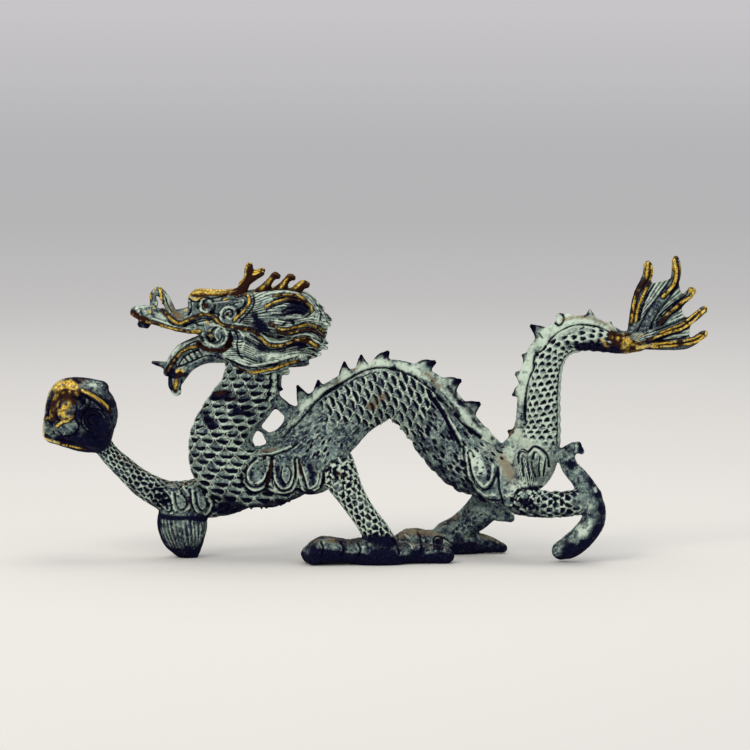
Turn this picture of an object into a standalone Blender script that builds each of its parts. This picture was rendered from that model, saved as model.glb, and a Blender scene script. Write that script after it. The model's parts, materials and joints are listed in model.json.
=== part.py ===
"""Cast brass dragon that stands on its feet and holds a pearl in its raised front paw.

Metres, +Z up. X runs along the body towards the tail, -Y is the near side, z = 0 is the ground.
The form is built up from tapered stems and rounded pads, all in millimetres in the lists below,
and is fused into one casting at the end.
"""
import math

import bmesh
import bpy
from mathutils import Matrix, Vector

# Driving sizes
MM = 0.001
LENGTH = 230.0 * MM
WIDTH = 40.0 * MM
GRAIN = 0.62 * MM          # grid of the fused casting
FACE_COUNT = 9000          # triangles that are kept of it
SPAN_STEPS = 5             # path samples between two given points
TIP_STEPS = 3              # rings of a rounded end
GROUND_DEPTH = 12.0 * MM   # depth of the block that cuts the soles flat
BAR_SEGMENTS = 3           # bevel resolution of a stem
PAD_SEGMENTS, PAD_RINGS = 24, 14
WELD = 0.01 * MM

# Body centre line from the skull to the root of the tail fan: x, z and radius
BODY_LINE = (
    (-42.1, 68.3, 9.0), (-43.3, 58.6, 10.0), (-50.0, 49.5, 9.8), (-53.4, 41.2, 10.6), (-51.2, 32.3, 11.8),
    (-42.4, 28.2, 11.0), (-29.9, 31.6, 11.3), (-16.4, 44.2, 11.4), (-6.2, 52.5, 9.8), (5.4, 57.1, 9.2),
    (15.7, 52.3, 10.2), (23.6, 42.6, 10.4), (32.0, 33.8, 10.4), (43.2, 29.0, 9.9), (53.0, 32.4, 9.4),
    (56.8, 40.4, 7.6), (57.9, 48.0, 6.5), (58.2, 56.4, 6.1), (58.8, 63.6, 5.9), (60.4, 69.4, 5.4),
    (64.6, 74.6, 5.0), (71.6, 76.8, 4.9), (78.4, 75.9, 4.4), (84.9, 74.6, 3.8), (91.1, 75.0, 3.4),
)
BODY_DEPTH = 0.94          # depth of the body across Y as a share of its radius

# Back spines: x and z of the tip, root radius, and how far the root lies back along the body
SPINES = (
    (-26.9, 60.6, 2.1, 0.3), (-19.5, 62.6, 2.0, 0.8), (-10.5, 69.0, 2.1, 1.2), (-4.7, 71.3, 2.1, 0.7),
    (4.9, 72.6, 2.6, 3.2), (10.1, 69.0, 1.9, 0.5), (21.4, 68.9, 2.8, 3.0), (21.8, 63.4, 1.9, 0.0),
    (30.3, 62.4, 2.9, 1.6), (28.9, 56.6, 1.9, 0.0), (36.9, 54.4, 2.9, 1.2), (36.0, 48.4, 1.8, 0.0),
    (39.6, 45.6, 2.8, -0.6), (45.6, 44.8, 2.2, -0.6), (46.9, 56.6, 2.2, -2.2), (48.0, 64.4, 2.9, 0.4),
    (50.3, 71.1, 2.0, 0.4), (53.2, 81.4, 2.3, -0.8), (63.0, 85.6, 3.7, -0.6), (74.0, 86.9, 2.0, -0.6),
    (81.6, 82.6, 1.8, 0.0),
)
SPINE_ROOT, SPINE_WAIST, SPINE_TIP = 1.9, 1.1, 0.45      # shares of the root radius
WAIST_PLACE, WAIST_LEAN = 0.5, 0.25                      # where the waist lies and how far it leans back
FIN_RISE = 0.7             # the back fin's centre above the back line
FIN_RADIUS = 2.4
FIN_DEPTH = 0.62
FIN_SINK = 0.5             # a spine's root below the back line
FIN_START = 7              # the body point at which the fin begins
SADDLE_X, SADDLE_WIDTH, SADDLE_DIP = 43.0, 7.0, 0.66
FIN_END_X, FIN_TAPER, FIN_LOWEST = 92.0, 20.0, 0.3
NECK_FIN_END = 4           # the body point at which the fin on the neck ends
NECK_FIN_RADIUS, NECK_FIN_SINK = 1.6, 0.4

# Raised front limb on the far side: x, y, z, radius
ARM = (
    (-35.5, 6.0, 23.6, 6.9), (-44.0, 6.0, 23.0, 6.4), (-50.5, 5.4, 21.2, 6.9), (-57.9, 4.5, 20.8, 7.5),
    (-65.5, 2.5, 20.8, 6.3), (-72.5, 1.0, 21.9, 5.6), (-80.0, 0.0, 26.0, 4.8), (-85.9, 0.0, 31.1, 4.1),
    (-91.3, 0.0, 36.2, 3.6), (-95.0, 0.0, 41.5, 3.6),
)
ELBOW_TUFT = ((-66.8, 2.0, 18.5, 7.9), (-66.6, 2.0, 12.6, 9.0), (-65.8, 2.0, 7.4, 8.2),
              (-64.6, 2.0, 3.2, 5.8), (-63.4, 2.0, -0.6, 2.6))
TUFT_DEPTH = 0.62

# Legs: near front, far hind and near hind
LEG_NEAR_FRONT = ((-17.7, -5.0, 38.0, 8.2), (-13.7, -7.6, 33.0, 7.4), (-10.2, -9.4, 27.0, 5.9),
                  (-7.2, -10.8, 22.0, 5.0), (-3.2, -11.8, 16.2, 4.6), (0.6, -12.4, 10.4, 5.1),
                  (2.5, -12.8, 6.5, 5.6))
LEG_FAR_HIND = ((43.3, 4.0, 29.0, 8.4), (41.4, 7.4, 22.0, 7.0), (36.8, 9.6, 15.2, 5.9),
                (30.4, 11.6, 9.4, 5.2), (25.0, 12.6, 6.0, 5.4))
LEG_NEAR_HIND = ((43.0, -5.0, 27.5, 8.4), (50.0, -9.0, 22.6, 6.6), (57.0, -11.4, 20.6, 5.1),
                 (65.0, -12.4, 20.6, 4.8), (71.6, -12.2, 21.4, 4.7), (74.8, -11.6, 20.2, 4.3),
                 (75.1, -11.0, 14.8, 4.4), (71.9, -10.2, 9.6, 4.5), (67.4, -9.4, 5.6, 4.4),
                 (64.2, -8.6, 4.0, 3.6))
HIND_UPPER_TOE = ((74.2, -11.0, 22.6, 4.4), (71.0, -8.4, 28.2, 3.6), (67.2, -6.0, 32.6, 3.2),
                  (66.2, -4.6, 36.6, 3.0), (68.4, -5.0, 39.0, 2.4))
HIND_UPPER_CLAW = ((66.0, -4.4, 36.4, 2.8), (62.6, -3.0, 36.4, 3.0))
HIND_UPPER_NAIL = ((70.0, -5.4, 40.4, 1.4), (71.2, -5.4, 37.8, 1.3))
SHOULDER_PAD = ((-22.0, -5.0, 31.4), (10.0, 6.4, 8.8))
KNEE_SPUR = ((43.0, 7.0, 14.8, 3.2), (47.0, 7.0, 13.2, 2.0))

# Feet: palm pads as centre and radii, toes as x, y, z, radius
NEAR_FOOT_PALM = ((1.0, -12.9, 3.4), (12.4, 6.6, 5.2))
NEAR_FOOT_HEEL = ((-2.0, -12.6, 4.4, 4.2), (9.0, -12.0, 3.8, 4.1), (18.0, -11.6, 3.4, 3.7),
                  (24.4, -11.4, 2.6, 3.3))
NEAR_TOE = ((-2.0, 5.0, 4.2), (-8.6, 4.4, 4.0), (-13.2, 4.8, 4.3), (-17.4, 4.7, 4.5), (-20.6, 3.4, 3.7))
NEAR_TOE_ROWS = (-16.1, -12.3, -8.2)
TOE_SHIFTS = (0.0, -1.2, -0.4)    # how far each toe of a foot reaches forward or back
FAR_FOOT_PALM = ((26.0, 12.9, 3.4), (14.0, 6.4, 5.4))
FAR_FOOT_HEEL = ((26.0, 12.8, 4.6, 4.6), (34.0, 12.6, 4.0, 4.0), (40.4, 12.4, 3.0, 3.0),
                 (44.6, 12.2, 1.8, 2.0))
FAR_TOE = ((27.0, 4.6, 4.2), (19.0, 4.2, 3.9), (13.6, 4.8, 3.9), (9.6, 3.6, 3.3))
FAR_TOE_ROWS = (8.4, 12.5, 16.4)
TOE_ROOT_SPREAD = 0.6      # distance between the toes at the palm, as a share of that at the tips

# Shoulder, elbow and haunch ornaments: rounded tongues as x, z of the top, x, z of the end, radius, y
SHOULDER_TONGUES = (
    (-40.6, 35.5, -40.6, 26.8, 4.0, -10.6), (-30.9, 35.5, -30.9, 26.0, 4.2, -11.2),
    (-21.9, 34.0, -21.9, 27.4, 3.8, -11.4),
)
ELBOW_TONGUES = (
    (-76.0, 25.0, -70.4, 17.4, 2.9, -2.6), (-69.4, 24.6, -66.4, 18.4, 3.2, -3.4),
    (-62.6, 24.0, -60.6, 17.8, 3.4, -3.2),
)
HAUNCH_TONGUE = (35.4, 34.5, 37.9, 27.0, 3.8, -10.2)
TONGUE_ROOT, TONGUE_END = 0.7, 0.4    # radius at the root, and how far the end's centre lies in, as shares
ORNAMENT_DEPTH = 0.45
HAUNCH_TUFT = ((50.5, -8.6, 36.0, 3.0), (52.0, -9.6, 31.5, 4.2), (53.0, -10.0, 27.0, 3.8))
HAUNCH_TUFT_DEPTH = 0.7

# Pearl with its flames, held from the arm's side
PEARL_CORE = ((-100.2, 0.0, 50.2), (12.0, 9.8, 12.2))
PEARL_BOSS = ((-104.2, -6.2, 50.6), (6.8, 5.4, 6.8))
FLAME_RIM = ((-94.0, 59.2, 2.8), (-99.0, 61.0, 2.0), (-105.0, 61.2, 2.0), (-109.2, 59.2, 2.0),
             (-111.2, 55.0, 2.1), (-111.8, 49.4, 2.3), (-112.2, 43.2, 2.4), (-108.4, 41.4, 2.3),
             (-101.6, 39.4, 2.4), (-95.4, 39.4, 3.0))
FLAME_DEPTH = 1.6
GRIP_FINGER = ((-93.4, 3.0, 41.6, 3.0), (-92.4, 8.4, 47.4, 2.7), (-95.6, 9.8, 54.4, 2.3),
               (-100.6, 8.4, 58.6, 1.7))
LOWER_FINGER = ((-94.4, 3.0, 40.6, 2.8), (-99.4, 7.6, 42.0, 2.4), (-105.4, 8.4, 44.2, 1.8))

# Skull and jaws
SNOUT = ((-46.0, 0.0, 81.5, 8.4), (-54.0, 0.0, 82.2, 6.9), (-61.0, 0.0, 83.0, 5.4), (-67.3, 0.0, 82.9, 3.9),
         (-73.0, 0.0, 83.6, 3.4), (-78.4, 0.0, 84.9, 3.0), (-82.0, 0.0, 85.6, 2.3))
SNOUT_DEPTH = 1.35
UPPER_LIP = ((-62.8, 5.6, 79.6, 1.5), (-68.0, 4.8, 80.4, 1.4), (-74.0, 4.2, 82.2, 1.4),
             (-80.0, 3.2, 83.8, 1.5))
UPPER_TOOTH = ((-80.2, 3.0, 81.7, 1.6), (-78.2, 3.0, 81.2, 1.4))
NOSE_CURL = ((-69.4, 3.2, 84.4, 1.7), (-71.2, 3.2, 88.8, 1.6), (-73.0, 3.2, 91.8, 1.5),
             (-75.2, 3.2, 92.8, 1.3), (-76.2, 3.2, 91.0, 1.2), (-75.8, 3.2, 87.8, 1.5))
BROW = ((-62.7, 4.2, 88.0, 1.7), (-61.3, 4.6, 90.7, 2.6), (-57.0, 5.0, 91.0, 2.3), (-51.0, 5.2, 91.3, 1.8))
HORN = ((-51.0, 5.2, 91.3, 1.8), (-45.3, 5.4, 93.0, 1.5), (-43.6, 5.8, 97.6, 1.6), (-43.2, 6.2, 100.9, 1.6))
HORN_BRANCH = ((-45.6, 5.5, 94.6, 1.6), (-42.0, 5.8, 97.6, 1.6), (-38.6, 6.0, 99.4, 1.3))
EYE = ((-57.7, 6.0, 87.0), (2.2, 2.0, 2.1))
EAR = ((-52.0, 7.4, 85.2, 1.6), (-48.2, 8.8, 88.2, 2.0), (-44.0, 9.8, 89.8, 1.9), (-43.6, 9.4, 87.6, 1.4))
CHEEK = ((-49.6, 6.8, 83.6), (3.6, 2.4, 3.4))
MOUTH_CURL = ((-58.4, 5.4, 79.6, 1.5), (-54.6, 6.2, 80.4, 1.7), (-52.0, 6.6, 77.4, 2.0),
              (-54.4, 6.2, 73.8, 2.0), (-58.2, 5.4, 74.8, 1.4))
JAW = ((-47.0, 0.0, 74.0, 6.4), (-53.0, 0.0, 73.4, 5.8), (-59.0, 0.0, 72.2, 5.0), (-64.0, 0.0, 69.2, 4.3),
       (-67.2, 0.0, 65.0, 3.7), (-68.7, 0.0, 60.8, 2.8), (-68.2, 0.0, 58.2, 2.0))
JAW_BARB = ((-70.0, 2.4, 66.6, 1.6), (-74.0, 2.4, 67.6, 1.0), (-76.6, 2.4, 68.2, 0.6))
JAW_LIP = ((-60.6, 3.8, 76.0, 1.5), (-65.2, 3.6, 73.8, 1.5), (-68.2, 3.2, 71.2, 1.5),
           (-70.4, 2.6, 67.8, 1.4), (-71.4, 2.0, 64.8, 1.6))

# Mane: locks on each side, as x, y, z, radius from the cheek to the tip
MANE_CORE = ((-34.4, 0.0, 80.4), (15.4, 10.2, 11.4))
MANE_LOCKS = (
    ((-47.0, 6.6, 89.6, 2.0), (-40.0, 7.6, 90.8, 2.4), (-30.0, 8.6, 91.2, 2.8), (-23.4, 9.0, 89.4, 2.2),
     (-20.6, 9.0, 87.4, 1.5), (-17.8, 9.0, 85.8, 0.9)),
    ((-44.0, 9.0, 88.0, 2.6), (-36.0, 10.8, 88.6, 3.4), (-27.6, 11.2, 86.4, 3.2), (-21.0, 10.4, 84.6, 2.0),
     (-17.6, 9.6, 83.6, 1.2), (-15.6, 9.4, 82.0, 1.2)),
    ((-44.0, 9.2, 84.0, 2.8), (-36.0, 11.4, 82.8, 3.6), (-27.6, 11.4, 80.6, 3.0), (-21.6, 10.4, 79.8, 2.0),
     (-18.6, 9.6, 78.2, 1.3), (-17.0, 9.4, 77.0, 0.9)),
    ((-51.6, 7.6, 80.6, 1.6), (-44.0, 9.4, 79.0, 2.2), (-37.4, 10.6, 75.8, 2.6), (-30.6, 10.6, 74.6, 2.4),
     (-23.6, 9.8, 76.0, 2.0), (-18.6, 8.8, 74.8, 1.4), (-16.5, 8.8, 74.0, 0.9)),
    ((-46.0, 8.0, 75.6, 3.0), (-38.6, 9.4, 72.4, 3.0), (-30.0, 9.4, 70.8, 2.6), (-22.8, 8.8, 71.2, 1.6),
     (-18.8, 8.6, 71.8, 1.0)),
    ((-50.0, 6.8, 71.8, 2.6), (-43.0, 8.0, 68.0, 2.4), (-36.0, 8.0, 67.0, 2.0), (-29.4, 7.4, 68.2, 1.5),
     (-23.4, 7.6, 68.7, 1.4)),
)
TOP_CURLS = (
    ((-40.4, 2.6, 91.4, 2.2), (-37.6, 2.8, 94.0, 1.8), (-35.8, 3.0, 96.4, 1.3), (-34.3, 3.0, 98.2, 1.3),
     (-32.9, 3.0, 97.8, 1.0)),
    ((-34.2, 2.6, 91.8, 2.2), (-31.8, 2.8, 94.0, 1.9), (-30.3, 2.8, 96.2, 1.4), (-29.0, 2.8, 97.7, 1.3),
     (-27.7, 2.8, 97.2, 1.0)),
    ((-29.0, 2.2, 91.0, 2.4), (-26.6, 2.4, 93.2, 2.0), (-24.6, 2.4, 95.0, 1.7), (-23.2, 2.4, 94.9, 1.3)),
)
CREST = ((-46.0, 0.0, 89.4, 2.6), (-38.0, 0.0, 90.8, 2.6), (-28.0, 0.0, 90.6, 2.6),
         (-20.6, 0.0, 86.6, 2.2), (-17.6, 0.0, 81.0, 1.8), (-18.8, 0.0, 75.0, 1.6))
NECK_TUFT = ((-33.6, 0.0, 69.0, 2.6), (-30.4, 0.0, 65.0, 1.6))
NECK_BARBS = (((-34.8, 59.8, 1.7), (-31.9, 58.8, 0.8)),)
NECK_BRIDGE = ((-37.2, 0.0, 56.8, 3.2), (-33.0, 0.0, 54.2, 2.5), (-29.0, 0.0, 51.0, 2.7),
               (-25.4, 0.0, 50.4, 2.6))
HOLE_BRIDGE = ((-41.4, 0.0, 46.6, 1.3), (-38.2, 0.0, 44.0, 1.2), (-36.0, 0.0, 41.8, 2.2))
HOLE_EDGE = ((-28.8, 0.0, 50.4, 2.2), (-29.8, 0.0, 46.6, 2.2), (-32.4, 0.0, 43.6, 2.2),
             (-35.0, 0.0, 42.4, 2.0))

# Tail fan: fingers as x, z, radius from the stem to the tip, joined by a thin web
FAN_STEM = ((86.0, 74.6, 3.8), (91.4, 75.6, 3.6), (95.2, 77.0, 3.0))
FAN_STEM_DEPTH = 1.1
FAN_FINGERS = (
    ((88.6, 75.0, 2.2), (89.2, 84.0, 1.8), (90.6, 91.4, 1.8), (93.6, 97.4, 2.0), (94.0, 101.4, 1.9)),
    ((91.0, 76.0, 2.0), (95.2, 85.0, 1.7), (100.0, 91.6, 1.7), (103.1, 96.4, 1.9), (103.7, 100.6, 1.9),
     (103.4, 103.5, 1.6)),
    ((93.0, 76.8, 2.0), (99.4, 82.6, 1.7), (105.4, 88.8, 1.8), (109.2, 92.6, 1.8)),
    ((94.2, 76.4, 2.0), (102.0, 79.6, 1.7), (108.4, 82.6, 1.7), (113.2, 86.4, 1.6)),
    ((93.6, 74.4, 2.2), (100.4, 73.8, 1.8), (107.6, 74.4, 1.8), (113.4, 77.9, 1.6)),
)
FAN_LIFT = (0.8, -0.8, 0.9, -0.7, 0.6)    # how far each finger stands off the middle plane
WEB_SHARE = (0.66, 0.74, 0.66, 0.72)      # how far the web runs along each pair of fingers
WEB_THICKNESS = 1.8
WEB_STEPS = 7
WEB_COLUMNS = 3

pieces = []


def trace(points, steps=SPAN_STEPS):
    """A smooth path of (place, radius) through the points, in metres."""
    knots = [[value * MM for value in point] for point in points]
    first = [2 * a - b for a, b in zip(knots[0], knots[1])]
    last = [2 * a - b for a, b in zip(knots[-1], knots[-2])]
    knots = [first] + knots + [last]
    path = []
    for i in range(1, len(knots) - 2):
        for k in range(steps):
            path.append(blend_span(knots[i - 1:i + 3], k / steps))
    path.append(knots[-2])
    return [(Vector(point[:3]), point[3]) for point in path]


def blend_span(four, t):
    """One point of the smooth span between the middle two of four points."""
    weights = (
        -0.5 * t + t * t - 0.5 * t ** 3,
        1 - 2.5 * t * t + 1.5 * t ** 3,
        0.5 * t + 2 * t * t - 1.5 * t ** 3,
        -0.5 * t * t + 0.5 * t ** 3,
    )
    return [sum(w * point[axis] for w, point in zip(weights, four)) for axis in range(len(four[0]))]


def round_ends(path):
    """The path with a dome added at both ends."""
    for _ in range(2):
        place, radius = path[0]
        along = (place - path[1][0]).normalized()
        dome = []
        for k in range(TIP_STEPS, 0, -1):
            angle = k / TIP_STEPS * math.radians(80)
            dome.append((place + along * radius * math.sin(angle), radius * math.cos(angle)))
        path = (dome + path)[::-1]
    return path


def stem(points, depth=1.0, steps=SPAN_STEPS):
    """A tapered round bar through x, y, z, radius, squeezed to the given depth across Y."""
    path = round_ends(trace(points, steps))
    curve = bpy.data.curves.new("stem", "CURVE")
    curve.dimensions = "3D"
    curve.bevel_depth = 1.0
    curve.bevel_resolution = BAR_SEGMENTS
    curve.use_fill_caps = True
    spline = curve.splines.new("POLY")
    spline.points.add(len(path) - 1)
    for knot, (place, radius) in zip(spline.points, path):
        knot.co = (place.x, place.y / depth, place.z, 1.0)
        knot.radius = radius
    return solid_from_curve(curve, Matrix.Diagonal((1.0, depth, 1.0, 1.0)))


def solid_from_curve(curve, matrix):
    """The curve as a closed mesh with welded caps, in world place."""
    holder = bpy.data.objects.new("stem", curve)
    bpy.context.scene.collection.objects.link(holder)
    graph = bpy.context.evaluated_depsgraph_get()
    mesh = bpy.data.meshes.new_from_object(holder.evaluated_get(graph))
    bpy.data.objects.remove(holder)
    mesh.transform(matrix)
    welded = bmesh.new()
    welded.from_mesh(mesh)
    bmesh.ops.remove_doubles(welded, verts=welded.verts, dist=WELD)
    bmesh.ops.recalc_face_normals(welded, faces=welded.faces)
    welded.to_mesh(mesh)
    welded.free()
    return keep(mesh)


def keep(mesh):
    """Adds a closed mesh to the forms that are fused at the end."""
    form = bpy.data.objects.new("form", mesh)
    bpy.context.scene.collection.objects.link(form)
    pieces.append(form)
    return form


def pad(centre, radii):
    """An ellipsoid from its centre and its three radii."""
    ball = bmesh.new()
    bmesh.ops.create_uvsphere(ball, u_segments=PAD_SEGMENTS, v_segments=PAD_RINGS, radius=1.0)
    mesh = bpy.data.meshes.new("pad")
    ball.to_mesh(mesh)
    ball.free()
    place = Matrix.Translation([value * MM for value in centre])
    mesh.transform(place @ Matrix.Diagonal([value * MM for value in radii] + [1.0]))
    return keep(mesh)


def mirrored(points):
    """The same points on the other side of the middle plane."""
    return [(x, -y, z, *rest) for x, y, z, *rest in points]


def on_both_sides(points, depth=1.0):
    stem(points, depth)
    stem(mirrored(points), depth)


def flat_points(points, y=0.0):
    """x, z, radius points put into the plane at y."""
    return [(x, y, z, radius) for x, z, radius in points]


def body():
    stem(flat_points(BODY_LINE), BODY_DEPTH)


def back_line():
    """Body centre, outward direction and radius along the path, in millimetres."""
    path = trace(flat_points(BODY_LINE))
    line = []
    for i in range(1, len(path) - 1):
        along = (path[i + 1][0] - path[i - 1][0]).normalized()
        outward = Vector((-along.z, 0.0, along.x))
        line.append((path[i][0] / MM, outward, path[i][1] / MM))
    return line


def fin_share(x):
    """Height of the back fin: low in the saddle before the tail and thin at the tail's end."""
    saddle = 1.0 - SADDLE_DIP * math.exp(-((x - SADDLE_X) / SADDLE_WIDTH) ** 2)
    taper = min(1.0, (FIN_END_X - x) / FIN_TAPER)
    return saddle * max(taper, FIN_LOWEST)


def back_fin(line):
    """The low ridge along the back, from the arch to the tail fan."""
    ridge = []
    for centre, outward, radius in line[FIN_START * SPAN_STEPS::3]:
        share = fin_share(centre.x)
        point = centre + outward * (radius + FIN_RISE * share)
        ridge.append((point.x, 0.0, point.z, FIN_RADIUS * share))
    stem(ridge, FIN_DEPTH, 3)
    neck_ridge = []
    for centre, outward, radius in line[:NECK_FIN_END * SPAN_STEPS:3]:
        point = centre + outward * (radius - NECK_FIN_SINK)
        neck_ridge.append((point.x, 0.0, point.z, NECK_FIN_RADIUS))
    stem(neck_ridge, FIN_DEPTH, 3)


def spine(line, tip_x, tip_z, radius, lean):
    """One back spine: a blade that rises from the fin and hooks towards its tip."""
    tip = Vector((tip_x, 0.0, tip_z))
    nearest = min(range(len(line)), key=lambda i: (line[i][0] - tip).length - line[i][2])
    centre, outward, size = line[nearest]
    along = Vector((outward.z, 0.0, -outward.x))
    root = centre + outward * (size - FIN_SINK) - along * lean
    waist = root.lerp(tip, WAIST_PLACE) - along * lean * WAIST_LEAN
    knob = radius * SPINE_TIP
    tip += (root - tip).normalized() * knob
    points = (
        (root.x, 0.0, root.z, radius * SPINE_ROOT),
        (waist.x, 0.0, waist.z, radius * SPINE_WAIST),
        (tip.x, 0.0, tip.z, knob),
    )
    stem(points, FIN_DEPTH)


def limbs():
    stem(ARM)
    stem(ELBOW_TUFT, TUFT_DEPTH)
    stem(LEG_NEAR_FRONT)
    stem(LEG_FAR_HIND)
    stem(LEG_NEAR_HIND)
    stem(HIND_UPPER_TOE)
    stem(HIND_UPPER_CLAW)
    stem(HIND_UPPER_NAIL)
    stem(KNEE_SPUR)
    pad(*SHOULDER_PAD)
    stem(HAUNCH_TUFT, HAUNCH_TUFT_DEPTH)


def paw(palm, heel, toe, rows):
    """A standing foot: a palm pad, a heel and a row of knuckled toes."""
    centre, radii = palm
    pad(centre, radii)
    stem(heel)
    for row, shift in zip(rows, TOE_SHIFTS):
        points = []
        for i, (x, z, radius) in enumerate(toe):
            spread = TOE_ROOT_SPREAD + (1.0 - TOE_ROOT_SPREAD) * i / (len(toe) - 1)
            points.append((x + shift, rows[1] + (row - rows[1]) * spread, z, radius))
        stem(points)


def tongue(top_x, top_z, end_x, end_z, radius, y):
    """A rounded ornament lobe that hangs from the shoulder, elbow or haunch."""
    root = (top_x, y, top_z, radius * TONGUE_ROOT)
    end = (end_x, y, end_z + radius * TONGUE_END, radius)
    stem((root, end), ORNAMENT_DEPTH)


def ornaments():
    for lobe in SHOULDER_TONGUES + ELBOW_TONGUES + (HAUNCH_TONGUE,):
        tongue(*lobe)
    for top_x, top_z, end_x, end_z, radius, y in SHOULDER_TONGUES:
        tongue(top_x, top_z, end_x, end_z, radius, -y)


def pearl():
    pad(*PEARL_CORE)
    (x, y, z), radii = PEARL_BOSS
    pad((x, y, z), radii)
    pad((x, -y, z), radii)
    stem(flat_points(FLAME_RIM), FLAME_DEPTH)
    on_both_sides(GRIP_FINGER)
    on_both_sides(LOWER_FINGER)


def head():
    stem(SNOUT, SNOUT_DEPTH)
    stem(JAW)
    sides = (UPPER_LIP, UPPER_TOOTH, NOSE_CURL, BROW, HORN, HORN_BRANCH, EAR, MOUTH_CURL, JAW_BARB, JAW_LIP)
    for points in sides:
        on_both_sides(points)
    for (x, y, z), radii in (EYE, CHEEK):
        pad((x, y, z), radii)
        pad((x, -y, z), radii)


def mane():
    pad(*MANE_CORE)
    stem(CREST)
    for lock in MANE_LOCKS + TOP_CURLS:
        on_both_sides(lock)
    stem(NECK_TUFT)
    for barb in NECK_BARBS:
        stem(flat_points(barb))
    stem(NECK_BRIDGE, FIN_DEPTH)
    stem(HOLE_BRIDGE, FIN_DEPTH)
    stem(HOLE_EDGE, FIN_DEPTH)


def along_finger(path, share):
    """The point at a share of a traced finger's length."""
    place = share * (len(path) - 1)
    i = min(int(place), len(path) - 2)
    return path[i][0].lerp(path[i + 1][0], place - i)


def tail_fan():
    """Five curling fingers and the web between each pair."""
    stem(flat_points(FAN_STEM), FAN_STEM_DEPTH)
    paths = []
    for finger, lift in zip(FAN_FINGERS, FAN_LIFT):
        points = flat_points(finger, lift)
        stem(points)
        paths.append(trace(points))
    for left, right, share in zip(paths, paths[1:], WEB_SHARE):
        web(left, right, share)


def web(left, right, share):
    """A thin sheet between two fingers, with thickness from Solidify."""
    sheet = bmesh.new()
    rows = []
    for i in range(WEB_STEPS + 1):
        along = share * i / WEB_STEPS
        a = along_finger(left, along)
        b = along_finger(right, along)
        rows.append([sheet.verts.new(a.lerp(b, k / WEB_COLUMNS)) for k in range(WEB_COLUMNS + 1)])
    for low, high in zip(rows, rows[1:]):
        for k in range(WEB_COLUMNS):
            sheet.faces.new((low[k], low[k + 1], high[k + 1], high[k]))
    sheet.normal_update()
    bmesh.ops.solidify(sheet, geom=sheet.faces[:], thickness=WEB_THICKNESS * MM)
    bmesh.ops.recalc_face_normals(sheet, faces=sheet.faces)
    mesh = bpy.data.meshes.new("web")
    sheet.to_mesh(mesh)
    sheet.free()
    keep(mesh)


def apply_modifier(thing, kind, **settings):
    """Adds one modifier, sets it and makes its result the mesh."""
    modifier = thing.modifiers.new(kind.title(), kind)
    for name, value in settings.items():
        setattr(modifier, name, value)
    graph = bpy.context.evaluated_depsgraph_get()
    mesh = bpy.data.meshes.new_from_object(thing.evaluated_get(graph))
    thing.modifiers.clear()
    thing.data = mesh


def fuse(name):
    """Every form as one closed casting of few faces."""
    joined = bmesh.new()
    for form in pieces:
        joined.from_mesh(form.data)
        bpy.data.objects.remove(form)
    mesh = bpy.data.meshes.new(name)
    joined.to_mesh(mesh)
    joined.free()
    casting = bpy.data.objects.new(name, mesh)
    bpy.context.scene.collection.objects.link(casting)
    apply_modifier(casting, "REMESH", mode="VOXEL", voxel_size=GRAIN)
    keep_largest_shell(casting.data)
    triangles = sum(len(face.vertices) - 2 for face in casting.data.polygons)
    apply_modifier(casting, "DECIMATE", ratio=FACE_COUNT / triangles, use_collapse_triangulate=True)
    return casting


def keep_largest_shell(mesh):
    """Drops loose crumbs and closed bubbles that the fusing leaves."""
    shape = bmesh.new()
    shape.from_mesh(mesh)
    left = set(shape.verts)
    shells = []
    while left:
        front = [left.pop()]
        shell = list(front)
        while front:
            vert = front.pop()
            for edge in vert.link_edges:
                other = edge.other_vert(vert)
                if other in left:
                    left.discard(other)
                    front.append(other)
                    shell.append(other)
        shells.append(shell)
    shells.sort(key=len)
    for shell in shells[:-1]:
        bmesh.ops.delete(shape, geom=shell, context="VERTS")
    shape.to_mesh(mesh)
    shape.free()


def level_soles(casting, cutters):
    """Cuts everything below the ground away, so that the feet stand flat."""
    block = bmesh.new()
    bmesh.ops.create_cube(block, size=1.0)
    mesh = bpy.data.meshes.new("ground_block")
    block.to_mesh(mesh)
    block.free()
    mesh.transform(Matrix.Diagonal((2 * LENGTH, 3 * WIDTH, GROUND_DEPTH, 1.0)))
    ground = bpy.data.objects.new("ground_block", mesh)
    ground.location.z = -GROUND_DEPTH / 2
    ground.hide_render = True
    ground.display_type = "WIRE"
    cutters.objects.link(ground)
    bpy.context.view_layer.update()
    apply_modifier(casting, "BOOLEAN", operation="DIFFERENCE", solver="EXACT", object=ground)


def brass():
    """Brass with a grey-green patina."""
    material = bpy.data.materials.new("patinated_brass")
    material.use_nodes = True
    shader = material.node_tree.nodes["Principled BSDF"]
    shader.inputs["Base Color"].default_value = (0.25, 0.33, 0.26, 1.0)
    shader.inputs["Metallic"].default_value = 0.35
    shader.inputs["Roughness"].default_value = 0.62
    return material


def main():
    for thing in list(bpy.data.objects):
        bpy.data.objects.remove(thing)
    parts = bpy.data.collections.new("dragon_sculpture")
    cutters = bpy.data.collections.new("cutters")
    bpy.context.scene.collection.children.link(parts)
    bpy.context.scene.collection.children.link(cutters)
    body()
    line = back_line()
    back_fin(line)
    for values in SPINES:
        spine(line[(FIN_START - 1) * SPAN_STEPS:], *values)
    limbs()
    paw(NEAR_FOOT_PALM, NEAR_FOOT_HEEL, NEAR_TOE, NEAR_TOE_ROWS)
    paw(FAR_FOOT_PALM, FAR_FOOT_HEEL, FAR_TOE, FAR_TOE_ROWS)
    ornaments()
    pearl()
    head()
    mane()
    tail_fan()
    casting = fuse("dragon")
    level_soles(casting, cutters)
    bpy.context.scene.collection.objects.unlink(casting)
    parts.objects.link(casting)
    casting.data.materials.clear()
    casting.data.materials.append(brass())


main()
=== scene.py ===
import json
import math

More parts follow.
